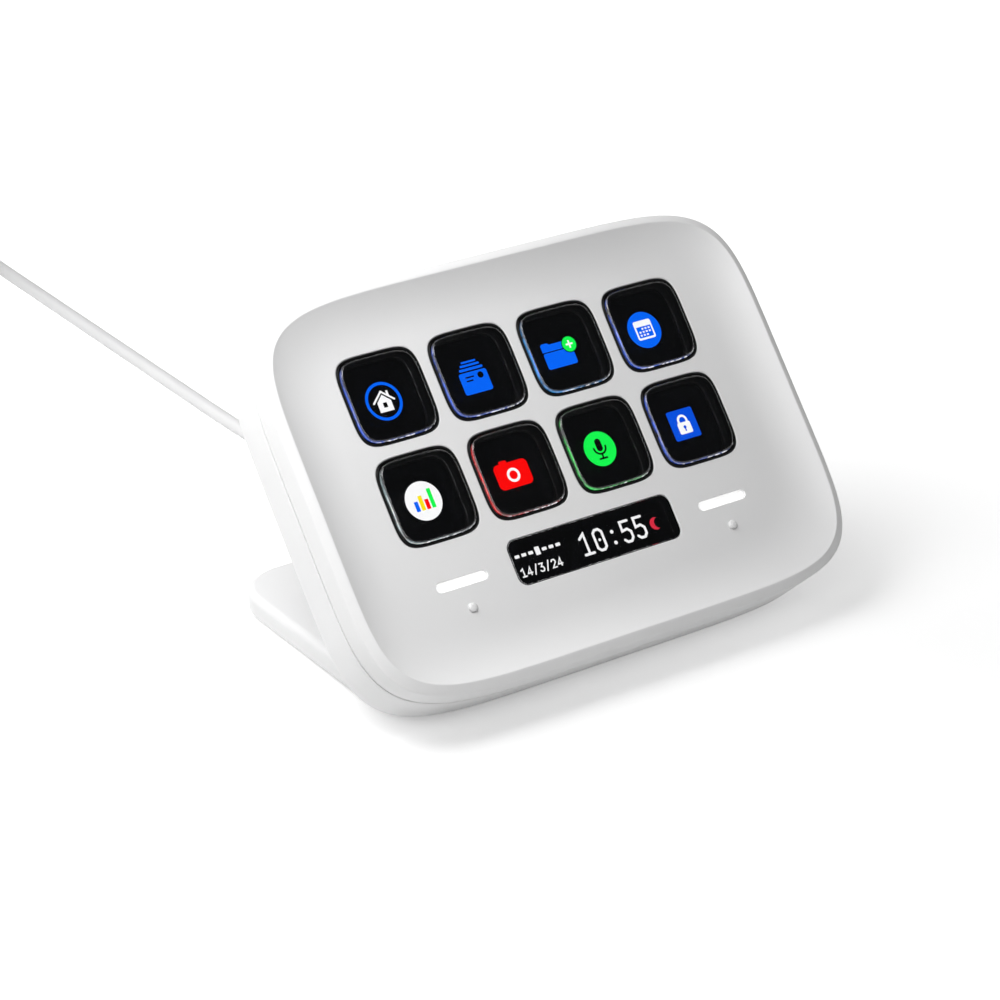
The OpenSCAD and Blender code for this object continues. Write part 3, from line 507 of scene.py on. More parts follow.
def join(parts):
    verts, faces = [], []
    for v, f in parts:
        base = len(verts)
        verts += v
        faces += [tuple(base + i for i in face) for face in f]
    return verts, faces


def new_mesh(name, shape):
    verts, faces = shape
    mesh = bpy.data.meshes.new(name)
    mesh.from_pydata([tuple(v) for v in verts], [], faces)
    bm = bmesh.new()
    bm.from_mesh(mesh)
    bmesh.ops.recalc_face_normals(bm, faces=bm.faces)
    bm.to_mesh(mesh)
    bm.free()
    return mesh


def combined(mesh, tool, operation="DIFFERENCE"):
    """One mesh cut by, or joined with, another."""
    a, b = bpy.data.objects.new("a", mesh), bpy.data.objects.new("b", tool)
    for o in (a, b):
        bpy.context.scene.collection.objects.link(o)
    change = a.modifiers.new("combine", "BOOLEAN")
    change.operation, change.object, change.solver = operation, b, "EXACT"
    shown = a.evaluated_get(bpy.context.evaluated_depsgraph_get())
    made = bpy.data.meshes.new_from_object(shown)
    for o in (a, b):
        bpy.data.objects.remove(o)
    return made


def piece(name, mesh, mat, place=FLAT, body="base", stands_for=(), crease=32, weighted=True):
    """A finished piece: put in place, smooth-shaded, on its body."""
    mesh.transform(place)
    obj = bpy.data.objects.new(name, mesh)
    bpy.context.scene.collection.objects.link(obj)
    mesh.materials.clear()
    for m in mat if isinstance(mat, (list, tuple)) else [mat]:
        mesh.materials.append(MAT[m])
    mesh.shade_smooth()
    mesh.set_sharp_from_angle(angle=math.radians(crease))
    if weighted:
        normals = obj.modifiers.new("normals", "WEIGHTED_NORMAL")
        normals.keep_sharp, normals.weight = True, 60
    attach(obj, body)
    if stands_for:
        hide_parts(*stands_for)
    return obj


# ------------------------------------------------------------------- cable

# Along the desk, from below the strain relief to the coil
ROUTE = [
    (0, 0.6, 8.5), (0, 2.8, 7.5), (0, 5.1, 6.85), (0, 7.5, 6.65), (0, 13, 6.65), (0, 19, 6.65),
    (0, 25, 6.65), (-0.1, 32, 6.7), (-0.2, 36, 6.55), (-0.4, 40, 5.95), (-0.6, 44, 5),
    (-0.9, 48, 3.9), (-1.2, 52, 2.85), (-1.5, 56, 2.07), (-1.9, 61, 1.65), (-2.6, 68, 1.54),
    (-3.3, 76, 1.52), (-4, 84, 1.515), (-4.5, 92, 1.515), (-4.8, 100, 1.515), (-5, 110, 1.515),
    (-5, 122, 1.515), (-5, 134, 1.515), (-5, 146, 1.515), (-5, 158, 1.515), (-5, 170, 1.515),
    (-5, 182, 1.515), (-5, 194, 1.515), (-5, 206, 1.515), (-5, 216, 1.6), (-5, 224, 1.9),
    (-5, 232, 2.2), (-5, 240, 2.35),
]
# Over the coil to the plug, counted from the coil's middle
LEAD = [
    (-10.5, -18.2, 11.35), (-5.4, -20.3, 11.5), (0, -21, 12), (5.4, -20.3, 12.6),
    (10.5, -18.2, 13.2), (14.8, -14.8, 13.8), (18.2, -10.5, 14.3), (20.2, -5.4, 14.7),
    (20.6, 0, 15), (20.4, 3, 15.2), (19.6, 6, 15.4), (18.1, 9, 15.6), (15.9, 11.8, 15.8),
    (13.2, 14, 15.9), (10.3, 15.5, 16), (8.6, 15.9, 16), (7, 16, 16),
]


def coil_turns():
    """Where the coil's turns start and end, layer on layer: angle, radius, height."""
    turns, angle = [], 0
    for layer in range(COIL_LAYERS):
        for radius in COIL_RADII if layer % 2 == 0 else COIL_RADII[::-1]:
            held = 300 if radius == COIL_RADII[1] or not turns else 240
            height = COIL_FIRST + CABLE_D * layer
            turns += [(angle, radius, height), (angle + held, radius, height)]
            angle += held + 60
    return turns


TURNS = coil_turns()


def coil_point(angle):
    """The cable's place at an angle along the coil, eased from one turn to the next."""
    for (a0, r0, z0), (a1, r1, z1) in zip(TURNS, TURNS[1:]):
        if angle <= a1:
            t = (angle - a0) / (a1 - a0)
            t = t * t * (3 - 2 * t)
            r, z = r0 + (r1 - r0) * t, z0 + (z1 - z0) * t
            w = math.radians(angle)
            return COIL_X + r * math.cos(w), COIL_Y + r * math.sin(w), z


def make_cable():
    """The whole cable as one curve: out of the relief, along the desk, round the coil, to the plug."""
    tip = panel_point(0, EXIT_Y, BACK_Z - RELIEF_L)
    lead = panel_point(0, EXIT_Y, BACK_Z - RELIEF_L - 2)
    points = [tuple(tip), tuple(lead)] + ROUTE
    points += [coil_point(angle) for angle in range(COIL_STEP, TURNS[-1][0], COIL_STEP)]
    points += [(COIL_X + x, COIL_Y + y, z) for x, y, z in LEAD]
    points = [Vector(p) * MM for p in points]
    curve = bpy.data.curves.new("usb_cable_run", "CURVE")
    curve.dimensions = "3D"
    curve.bevel_depth, curve.bevel_resolution = CABLE_D / 2 * MM, 6
    curve.resolution_u, curve.use_fill_caps = 4, True
    spline = curve.splines.new("BEZIER")
    spline.bezier_points.add(len(points) - 1)
    for knot, p in zip(spline.bezier_points, points):
        knot.co = p
        knot.handle_left_type = knot.handle_right_type = "AUTO"
    curve.materials.append(MAT["cable"])
    cable = bpy.data.objects.new("usb_cable_run", curve)
    bpy.context.scene.collection.objects.link(cable)
    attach(cable, "base")
    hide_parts("usb_cable", "cable_coil", "plug_lead")
    return cable, points


def make_relief():
    """Tapered strain relief with grooves round it, its head inside the casing."""
    def taper(down):
        return RELIEF_R - (RELIEF_R - RELIEF_TIP) * down / RELIEF_L

    profile = [(RELIEF_HEAD_R, RELIEF_HEAD_TOP), (RELIEF_HEAD_R, RELIEF_HEAD_LOW),
               (RELIEF_R, RELIEF_HEAD_LOW), (RELIEF_R, RELIEF_ROOT)]
    for i in range(RIBS):
        start = RIB_FIRST + RIB_PITCH * i
        end = start + RIB_GAP
        above, below = taper(start), taper(end)
        low = max(below - RIB_DEPTH, CABLE_D / 2 + 0.1)
        profile += [(above, -start), (above - RIB_EDGE, -start - RIB_EDGE)]
        profile += [(low, -start - down) for down in RIB_FLOOR]
        profile += [(below - RIB_EDGE, -end + RIB_EDGE), (below, -end)]
    profile += [(RELIEF_TIP, -RELIEF_L + 0.6), (RELIEF_TIP - 0.15, -RELIEF_L + 0.2),
                (CABLE_D / 2 + 0.02, -RELIEF_L)]
    mesh = new_mesh("cable_relief_boot", lathe(profile))
    return piece("cable_relief_boot", mesh, "cable", PANEL @ Matrix.Translation((0, EXIT_Y, BACK_Z)),
                 stands_for=("cable_relief",))


def make_tie():
    """Soft strap round one side of the coil, its edges chamfered."""
    a, b = (COIL_OUT - COIL_IN) / 2, (COIL_TOP - COIL_Z) / 2
    mid_r, mid_z = (COIL_IN + COIL_OUT) / 2, (COIL_TOP + COIL_Z) / 2
    steps = [(TIE_EDGE, 0.0), (0.0, TIE_EDGE)]
    steps += [(0.0, TIE_EDGE + (TIE_W - TIE_EDGE) * i / 8) for i in range(1, 8)]
    steps += [(0.0, TIE_W - TIE_EDGE), (TIE_EDGE, TIE_W)]
    angle = math.radians(TIE_ANGLE)
    outer, inner = [], []
    for inset, along in steps:
        w = math.pi + angle * (along / TIE_W - 0.5)
        for ring, grow in ((outer, TIE_GAP + TIE_T - inset), (inner, TIE_GAP + inset)):
            section = round_rect(a + grow, b + grow, TIE_CORNER + grow, 6, mid_r, mid_z)
            ring.append([(r * math.cos(w), r * math.sin(w), z) for r, z in section])
    mesh = new_mesh("cable_tie_strap", loft(outer + inner[::-1], closed=True))
    return piece("cable_tie_strap", mesh, "tie", Matrix.Translation(Vector((COIL_X, COIL_Y, 0)) * MM) @ FLAT,
                 stands_for=("cable_tie",))


def plug_ring(a, b, r, x):
    return [(x, p, q) for p, q in round_rect(a, b, r, 8)]


def make_grip():
    """Moulded grip with a grooved boot."""
    rings = []
    for i in range(13):
        r = CABLE_D / 2 + BOOT_GROWS * i / 12 - (BOOT_GROOVE if i % 3 == 2 else 0)
        rings.append(plug_ring(r, r, r * 0.999, PLUG_RELIEF * i / 12))
    a, b, r = PLUG_W / 2, PLUG_T / 2, PLUG_T / 2 - PLUG_FLAT
    for near, far in quarter(8):
        inset = PLUG_BACK * far
        rings.append(plug_ring(a - inset, b - inset, r - inset, PLUG_RELIEF + PLUG_BACK * near))
    for near, far in quarter(8):
        inset = PLUG_FRONT * near
        rings.append(plug_ring(a - inset, b - inset, r - inset, PLUG_RELIEF + PLUG_L - PLUG_FRONT * far))
    return piece("plug_grip", new_mesh("plug_grip", loft(rings)), "plug", PLUG,
                 stands_for=("plug_body",))


def make_plug():
    """The plug: grip, metal shell, and the tongue with its contacts inside."""
    def capsule(inset, x):
        return plug_ring(USB_W / 2 - inset, USB_T / 2 - inset, USB_T / 2 - inset - 0.01, x)

    grip = make_grip()
    start = PLUG_RELIEF + PLUG_L
    end = start + USB_L
    shell = [capsule(0, start - 0.01)] + [capsule(inset, end - back) for inset, back in USB_LIP]
    shell.append(capsule(USB_WALL, start + TONGUE_BACK))
    shell = piece("plug_shell_tube", new_mesh("plug_shell_tube", loft(shell)), "usb", PLUG,
                  stands_for=("plug_shell",))
    a, b, tip = TONGUE_A, TONGUE_B, end - TONGUE_FRONT
    tongue = loft([plug_ring(a, b, TONGUE_CORNER, start + TONGUE_BACK),
                   plug_ring(a, b, TONGUE_CORNER, tip - TONGUE_EDGE),
                   plug_ring(a - TONGUE_EDGE, b - 0.1, TONGUE_CORNER - 0.05, tip)])
    tongue = piece("plug_tongue", new_mesh("plug_tongue", tongue), "tongue", PLUG)
    half = CONTACT_W / 2
    strips = []
    for side in (-1, 1):
        low, high = side * CONTACT_Z, side * (CONTACT_Z + CONTACT_T)
        for i in range(CONTACTS):
            y = (i - (CONTACTS - 1) / 2) * CONTACT_PITCH
            strips.append(loft([
                [(x, y - half, low), (x, y + half, low), (x, y + half, high), (x, y - half, high)]
                for x in (start + CONTACT_BACK, end - CONTACT_FRONT)
            ]))
    contacts = piece("plug_contacts", new_mesh("plug_contacts", join(strips)), "gold", PLUG)
    return [grip, shell, tongue, contacts]


cable, cable_points = make_cable()
cable_extras = [make_relief(), make_tie()] + make_plug()

# ------------------------------------------------------------------ casing

CASE_POINTS, KEY_POINTS, DISH_STEPS, UNDER_STEPS = 320, 128, 36, 8
CASE_WAYS = directions_for(CASE_A, CASE_B, CASE_POWER, CASE_POINTS)
KEY_WAYS = directions_for(KEY_W / 2, KEY_H / 2, KEY_POWER, KEY_POINTS)


def case_ring(inset, z, power=CASE_POWER):
    return [(x, y + CASE_Y, z) for x, y in squircle(CASE_A - inset, CASE_B - inset, power, CASE_WAYS)]


def parting_lip(z, way):
    """Rings from inside the parting line's groove over the lip to the outer wall."""
    return [case_ring(inset, z + way * rise, PARTING_POWER) for inset, rise in PARTING_LIP]


def outer_wall(start, end, draft=0.0):
    """Rings along the outer wall, away from the parting line; draft is how far it leans in."""
    rings = []
    for i in range(1, 8):
        t = i / 8
        power = PARTING_POWER + (CASE_POWER - PARTING_POWER) * t
        rings.append(case_ring(draft * t, start + (end - start) * t, power))
    return rings


def dish_z(s):
    """Height of the dish, from s = 0 at the rim to s = 1 at the flat panel."""
    return (RIM_H - RIM_DROP) * (1 - s) ** DISH_BEND


def dish_ring(s, lower=0.0):
    power = CREST_POWER + (DISH_POWER - CREST_POWER) * s
    return case_ring(RIM_W + DISH_W * s, dish_z(s) - lower, power)


def key_outline(grow, x=0.0, y=0.0):
    return [(x + px, y + py) for px, py in squircle(KEY_W / 2 + grow, KEY_H / 2 + grow, KEY_POWER, KEY_WAYS)]


def window_outline(grow, corner):
    return round_rect(WINDOW_W / 2 + grow, WINDOW_H / 2 + grow, WINDOW_ROUND + corner, 12, 0, WINDOW_Y)


def bar_outline(grow, side):
    return round_rect(BAR_L / 2 + grow, BAR_H / 2 + grow, BAR_H / 2 + grow - 0.001, 14, side * BAR_X, BAR_Y)


def opening(outline, edge=OPENING_EDGE):
    """Prism that cuts an opening in the panel and rounds its top edge."""
    rings = [at_z(outline(0), -OPENING_DEPTH), at_z(outline(0), -edge)]
    # the round stops short of level and a little above the panel, so that no thin skin is left
    for i in range(1, 6):
        w = math.radians(16 * i)
        rings.append(at_z(outline(edge * (1 - math.cos(w))), edge * (math.sin(w) - 1) + 0.004))
    rings.append(at_z(outline(edge * 0.84), CUT_TOP))
    return loft(rings)


def make_bezel():
    """Front bezel: a wall and a rim that rolls into the dish, with its openings cut."""
    rings = [dish_ring(i / UNDER_STEPS, PANEL_T) for i in range(UNDER_STEPS, 0, -1)]
    roof = dish_z(1 / UNDER_STEPS) - PANEL_T + ROOF_RISE
    rings += [case_ring(WALL + ROOF_CORNER, roof), case_ring(WALL, roof - ROOF_CORNER)]
    rings.append(case_ring(WALL, -BEZEL_H))
    rings += parting_lip(-BEZEL_H, 1)
    rings += outer_wall(-BEZEL_H, RIM_H - RIM_ROUND, DRAFT)
    for curve, steps in RIM:
        for inset, drop in interpolate_bezier(*curve, steps + 1)[:-1]:
            blend = max(0.0, inset - RIM_BLEND) / (RIM_W - RIM_BLEND)
            rings.append(case_ring(inset, RIM_H - drop, CASE_POWER + (CREST_POWER - CASE_POWER) * blend))
    rings += [dish_ring(i / DISH_STEPS) for i in range(DISH_STEPS + 1)]
    tools = [opening(lambda g, x=x, y=y: key_outline(KEY_GAP + g, x, y)) for x, y in KEYS]
    tools.append(opening(lambda g: window_outline(OPENING_GAP + g, OPENING_GAP + g)))
    for side in (-1, 1):
        tools.append(opening(lambda g, side=side: bar_outline(OPENING_GAP + g, side), BAR_OPENING_EDGE))
        groove = lathe([(DOT_R + wider, z) for wider, z in GROOVE], 40)
        tools.append(moved(groove, side * BAR_X + GROOVE_SHIFT, DOT_Y - GROOVE_SHIFT))
    shell = combined(new_mesh("front_bezel_shell", loft(rings)), new_mesh("tools", join(tools)))
    piece("front_bezel_shell", shell, "casing", PANEL, stands_for=("front_bezel",))


def make_dots():
    """The two touch dots: low domes, each in a fine groove."""
    radius = DOT_R * DOME_SHARE
    profile = [(radius, DOT_FOOT), (radius, DOT_WALL)]
    for i in range(1, 10):
        w = math.pi / 2 * i / 10
        profile.append((radius * math.cos(w) ** DOME_BEND, DOT_WALL + (DOT_H - DOT_WALL) * math.sin(w)))
    domes = [moved(lathe(profile, 40), side * BAR_X, DOT_Y) for side in (-1, 1)]
    piece("touch_dots", new_mesh("touch_dots", join(domes)), "casing", PANEL, crease=60)


def make_rear():
    """Rear shell: hollow, with a rounded back, screw wells and the cable's hole."""
    top, step = -BEZEL_H - PARTING_GAP, -BEZEL_H + STEP_H
    root = top - STEP_ROOT
    rings = [case_ring(WALL + INNER_CORNER, INNER_BACK), case_ring(WALL, INNER_BACK + INNER_CORNER),
             case_ring(WALL, root - STEP_SLOPE), case_ring(STEP_IN, root), case_ring(STEP_IN, step),
             case_ring(STEP_OUT, step), case_ring(STEP_OUT, top)]
    rings += parting_lip(top, -1)
    rings += outer_wall(top - LIP_H, BACK_Z + BACK_ROUND)
    rings += [case_ring(BACK_ROUND * near, BACK_Z + BACK_ROUND * far) for near, far in quarter(12)]
    well = lathe([(r, BACK_Z + deep) for r, deep in WELL], 40)
    tools = [moved(well, x, y) for x, y in CORNER_SCREWS]
    tools.append(moved(lathe([(r, BACK_Z + deep) for r, deep in CABLE_HOLE]), 0, EXIT_Y))
    shell = combined(new_mesh("rear_shell_body", loft(rings)), new_mesh("tools", join(tools)))
    piece("rear_shell_body", shell, "casing_back", PANEL, stands_for=("rear_shell",))


def make_case_screws():
    """Pan-head case screws with a cross recess, down in their wells."""
    seat = BACK_Z + SCREW_SEAT
    profile = [(SHANK_R, seat + SHANK_L), (SHANK_R, seat), (HEAD_R, seat), (HEAD_R, seat - HEAD_WALL)]
    for i in range(1, 6):
        w = math.pi / 2 * i / 6
        profile.append((HEAD_R * math.cos(w) ** HEAD_BEND, seat - HEAD_WALL - HEAD_DOME * math.sin(w)))
    arm, wide = CROSS_L, CROSS_W
    cross = [(arm, wide), (wide, wide), (wide, arm), (-wide, arm), (-wide, wide), (-arm, wide),
             (-arm, -wide), (-wide, -wide), (-wide, -arm), (wide, -arm), (wide, -wide), (arm, -wide)]
    narrow = [(CROSS_TAPER * x, CROSS_TAPER * y) for x, y in cross]
    recess = loft([at_z(cross, BACK_Z), at_z(narrow, seat - CROSS_DEPTH)])
    heads = [moved(lathe(profile, 36), x, y) for x, y in CORNER_SCREWS]
    slots = [moved(recess, x, y) for x, y in CORNER_SCREWS]
    mesh = combined(new_mesh("case_screws", join(heads)), new_mesh("slots", join(slots)))
    piece("case_screw_set", mesh, "steel", PANEL, stands_for=("shell_screws",))


def make_stand():
    """Flat slab with round edges, and a pad rising from it that ends at the panel's back."""
    depth, mid = STAND_BACK - SLAB_FRONT, (STAND_BACK + SLAB_FRONT) / 2

    def slab_ring(inset, z):
        return at_z(round_rect(STAND_W / 2 - inset, depth / 2 - inset, STAND_CORNER - inset, 20, 0, mid), z)

    rings = [slab_ring(inset, FOOT_PROUD + rise) for inset, rise in SLAB_EDGE]
    rings += [slab_ring(STAND_ROUND * near, SLAB_TOP - STAND_ROUND * far) for near, far in quarter(10)]
    # the pad reaches down into the slab
    low, high = PAD_LOW - 1, PAD_HIGH
    a, b, pad_y = PAD_W / 2, (high - low) / 2, (low + high) / 2
    block = []
    for near, far in quarter(8):
        inset = PAD_ROUND * far
        section = round_rect(a - inset, b - inset, PAD_CORNER - inset, 10, 0, pad_y)
        block.append(at_z(section, BACK_Z - PAD_T + PAD_ROUND * near))
    block.append(at_z(section, BACK_Z + PAD_OVERLAP))
    pad = new_mesh("pad", loft(block))
    room = loft([at_z(round_rect(90, 150, 1, 1), z) for z in (BACK_Z, BACK_Z + 150)])
    room = new_mesh("room_for_panel", room)
    for mesh in (pad, room):
        mesh.transform(FLAT.inverted() @ PANEL)
    slab = combined(new_mesh("stand_slab", loft(rings)), pad, "UNION")
    slab = combined(slab, room)
    piece("stand_body", slab, "stand", stands_for=("stand",))


def make_window():
    """Clear window with a retaining lip behind the panel, its side painted black."""
    def ring(grow, z):
        return at_z(window_outline(grow, min(grow, 0)), z)

    rings = [ring(HOLD_W, HOLD_BACK), ring(HOLD_W, HOLD_FRONT), ring(0, HOLD_FRONT)]
    rings += [ring(-inset, z) for inset, z in WINDOW_EDGE]
    lens = piece("window_lens", new_mesh("window_lens", loft(rings)), ("lens", "dark"), PANEL,
                 stands_for=("info_window",))
    # the faces come ring by ring, and those below the rounded edge are painted
    painted = (len(rings) - len(WINDOW_EDGE) + 1) * len(rings[0])
    for polygon in lens.data.polygons[:painted]:
        polygon.material_index = 1


def make_bars():
    """Milky light guides from the display up into the panel, a little below its face."""
    for side, name in ((-1, "light_bar_left"), (1, "light_bar_right")):
        levels = [(0, DISPLAY_Z + BAR_FOOT), (0, HOLD_BACK), (HOLD_W, HOLD_BACK), (HOLD_W, HOLD_FRONT),
                  (0, HOLD_FRONT)]
        levels += [(-BAR_EDGE_W * near, -BAR_SINK - BAR_EDGE_H * far) for near, far in quarter(6)]
        rings = [at_z(bar_outline(grow, side), z) for grow, z in levels]
        piece(name + "_guide", new_mesh(name, loft(rings)), "bar", PANEL,
              stands_for=(name,))


# The painted glow colour in each key's lens edge, and how much of the lens's shoulder takes the painted glow
EDGES = ["blue", "blue", "sky", "blue", "pale", "red", "green", "blue"]
SHOULDER_STEPS, PAINTED_GLOW_STEPS = 12, 7


def make_key(number, x, y, edge):
    """A key: a black frame with its flange, and the clear lens that stands a little above it."""
    def ring(inset, z):
        return at_z(key_outline(-inset, x, y), z)

    rings = [ring(FLANGE_EDGE - FLANGE_W, FLANGE_BOTTOM), ring(-FLANGE_W, FLANGE_BOTTOM + FLANGE_EDGE),
             ring(-FLANGE_W, FLANGE_TOP), ring(0, FLANGE_TOP)]
    rings += [ring(FRAME_ROUND * near, FRAME_TOP - FRAME_ROUND * far) for near, far in quarter(9)]
    rings += [ring(LENS_IN - gap, FRAME_TOP - drop) for gap, drop in FRAME_LIP]
    rings.append(ring(LENS_IN - FRAME_LIP[-1][0], FLANGE_BOTTOM))
    piece(f"key_frame_{number}", new_mesh(f"key_frame_{number}", loft(rings, closed=True)), "frame", PANEL,
          body=f"key_{number}")
    rings = [ring(LENS_IN, FLANGE_BOTTOM)]
    rings += [ring(LENS_IN + LENS_ROUND * near, KEY_PROUD - LENS_ROUND * far)
              for near, far in quarter(SHOULDER_STEPS)]
    lens = piece(f"key_cap_{number}", new_mesh(f"key_cap_{number}", loft(rings)),
                 ("key", "dark", edge + "_edge"), PANEL, body=f"key_{number}",
                 stands_for=(f"key_{number}",))
    # the faces come ring by ring: the side painted black, then the rounded shoulder that takes the painted
    # glow and glints
    for polygon in lens.data.polygons[:(1 + PAINTED_GLOW_STEPS) * KEY_POINTS]:
        polygon.material_index = 1 if polygon.index < KEY_POINTS else 2


def make_shield():
    """Black light shield: a sleeve in each key's opening, with a flange behind the panel."""
    outer = KEY_GAP - SHIELD_GAP
    outlines = [(SHIELD_W, SHIELD_BACK), (SHIELD_W, SHIELD_FRONT), (outer, SHIELD_FRONT),
                (outer, SHIELD_TOP - SHIELD_SLOPE), (outer - SHIELD_EDGE, SHIELD_TOP + SHIELD_SLOPE),
                (SHIELD_IN, SHIELD_TOP), (SHIELD_IN, SHIELD_BACK)]
    sleeves = [loft([at_z(key_outline(grow, x, y), z) for grow, z in outlines], closed=True) for x, y in KEYS]
    piece("light_shield", new_mesh("light_shield", join(sleeves)), "shield", PANEL)


make_bezel()
make_dots()
make_rear()
make_case_screws()
make_stand()
make_window()
make_bars()
for i, (x, y) in enumerate(KEYS):
    make_key(i + 1, x, y, EDGES[i])
make_shield()

# ----------------------------------------------------- what the display shows

def layer_z(layer):
    """Height of a layer; 0 lies on the glass, 1 on layer 0, and so on."""
    return DISPLAY_Z + LAYER_GAP + LAYER_STEP * layer


def prism(outline, layer):
    z = layer_z(layer)
    return loft([at_z(outline, z), at_z(outline, z + LAYER_T)])


def flat(colour, outline, layer=0):
    """A symbol's part: its colour and its thin shape."""
    return colour, prism(outline, layer)


def hoop(colour, x, y, inner, outer, layer=0):
    """A symbol's ring: its colour and its thin shape."""
    low = layer_z(layer)
    high = low + LAYER_T
    section = ((inner, low), (outer, low), (outer, high), (inner, high))
    return colour, loft([at_z(disc(x, y, r, 64), z) for r, z in section], closed=True)


def rect(x, y, w, h, r=0.05):
    return round_rect(w / 2, h / 2, r, 5, x, y)


def stroke(points, width, caps=5):
    """Outline of a line of even width through points, with round ends."""
    pts = [Vector(p) for p in points]
    left, right = [], []
    for i, p in enumerate(pts):
        before = (p - pts[i - 1]).normalized() if i else None
        after = (pts[i + 1] - p).normalized() if i + 1 < len(pts) else None
        along = ((before or after) + (after or before)).normalized()
        side = Vector((-along.y, along.x))
        leg = before or after
        reach = width / 2 / max(0.5, side.dot(Vector((-leg.y, leg.x))))
        left.append(p + side * reach)
        right.append(p - side * reach)

    def cap(centre, start):
        first = math.atan2(start.y - centre.y, start.x - centre.x)
        turns = [first - math.pi * i / caps for i in range(1, caps)]
        return [centre + Vector((math.cos(w), math.sin(w))) * width / 2 for w in turns]

    out = left + cap(pts[-1], left[-1]) + right[::-1] + cap(pts[0], right[0])
    return [tuple(p) for p in out]


# Symbols of the keys, row by row, about their middles
ICONS = {
    "house": [
        hoop("blue", 0, 0, 3.12, 3.68),
        flat("white", [(-1.45, -2.0), (1.45, -2.0), (1.45, -0.1), (0, 1.25), (-1.45, -0.1)]),
        flat("white", stroke([(-2.15, -0.05), (0, 1.85), (2.15, -0.05)], 0.36), 1),
        flat("white", rect(1.22, 1.35, 0.42, 0.95)),
        flat("dark", rect(0, -0.75, 0.8, 0.95), 1),
    ],
    "cards": [
        flat("blue", rect(0, -1.05, 6.0, 4.2, 0.45)),
        flat("blue", rect(0, 1.6, 5.1, 0.5, 0.2)),
        flat("blue", rect(0, 2.35, 4.2, 0.42, 0.18)),
        flat("blue", rect(0, 3.0, 3.2, 0.36, 0.15)),
        flat("dark", disc(1.45, 0.05, 0.62), 1),
        flat("dark", stroke([(-1.7, 0.1), (-0.1, 0.1)], 0.28), 1),
        flat("dark", stroke([(-1.7, -0.6), (-0.5, -0.6)], 0.28), 1),
    ],
    "folder": [
        flat("blue", [(-3.75, 0.75), (-3.75, 2.1), (-3.4, 2.45), (-2.2, 2.45), (-1.75, 2.1), (1.0, 2.1),
                      (1.0, 0.75)]),
        flat("blue", rect(-0.45, -1.05, 6.6, 3.2, 0.45)),
        flat("dark", disc(2.4, 1.2, 1.66), 1),
        flat("green", disc(2.4, 1.2, 1.5), 2),
        flat("white", rect(2.4, 1.2, 1.5, 0.34), 3),
        flat("white", rect(2.4, 1.2, 0.34, 1.5), 3),
    ],
    "calendar": [
        flat("blue", disc(-0.1, 0, 3.65)),
        flat("white", rect(-0.1, 0.05, 4.0, 3.8, 0.4), 1),
        flat("blue", rect(-0.1, -0.35, 3.3, 2.2, 0.12), 2),
    ] + [
        flat("white", rect(-1.2 + 0.73 * i, 0.28 - 0.63 * j, 0.4, 0.34), 3)
        for i in range(4) for j in range(3) if (i, j) not in ((0, 0), (3, 2))
    ],
    "chart": [
        flat("white", disc(0, 0, 3.7)),
        flat("blue", rect(-1.65, -0.75, 0.8, 1.9, 0.1), 1),
        flat("yellow", rect(-0.55, -0.3, 0.8, 2.8, 0.1), 1),
        flat("red", rect(0.55, -0.75, 0.8, 1.9, 0.1), 1),
        flat("green", rect(1.65, 0.15, 0.8, 3.7, 0.1), 1),
    ],
    "camera": [
        flat("red", rect(0, 0, 7.3, 4.9, 1.0)),
        flat("red", rect(-1.3, 2.5, 1.7, 0.9, 0.3)),
        hoop("white", 0, -0.1, 0.85, 1.35, 1),
    ],
    "microphone": [
        flat("green", disc(0, 0, 3.4)),
        flat("dark", rect(0, 0.75, 1.3, 2.5, 0.64), 1),
        flat("dark", stroke(arc(0, 0.3, 1.3, 180, 360), 0.36), 1),
        flat("dark", stroke([(0, -1.0), (0, -1.8)], 0.36), 1),
        flat("dark", stroke([(-0.8, -1.9), (0.8, -1.9)], 0.36), 2),
    ],
    "padlock": [
        flat("deep_blue", rect(0, 0, 5.9, 5.9, 0.4)),
        flat("white", rect(0, -0.75, 2.9, 2.3, 0.35), 1),
        flat("white", stroke([(-0.92, 0.2), (-0.92, 0.75)] + arc(0, 0.75, 0.92, 165, 15, 10)
                             + [(0.92, 0.75), (0.92, 0.2)], 0.46), 1),
        flat("deep_blue", disc(0, -0.6, 0.32, 24), 2),
        flat("deep_blue", rect(0, -1.05, 0.26, 0.7), 2),
    ],
}


def make_icons():
    """A symbol on the display under each key, a little right of its middle."""
    for (x, y), (symbol, parts) in zip(KEYS, ICONS.items()):
        colours = sorted({colour for colour, shape in parts})
        owner = [colours.index(colour) for colour, (verts, faces) in parts for face in faces]
        shape = moved(join([shape for colour, shape in parts]), x + SYMBOL_X, y)
        drawn = piece("symbol_" + symbol, new_mesh("symbol_" + symbol, shape), colours, PANEL,
                      crease=20, weighted=False)
        for polygon, index in zip(drawn.data.polygons, owner):
            polygon.material_index = index


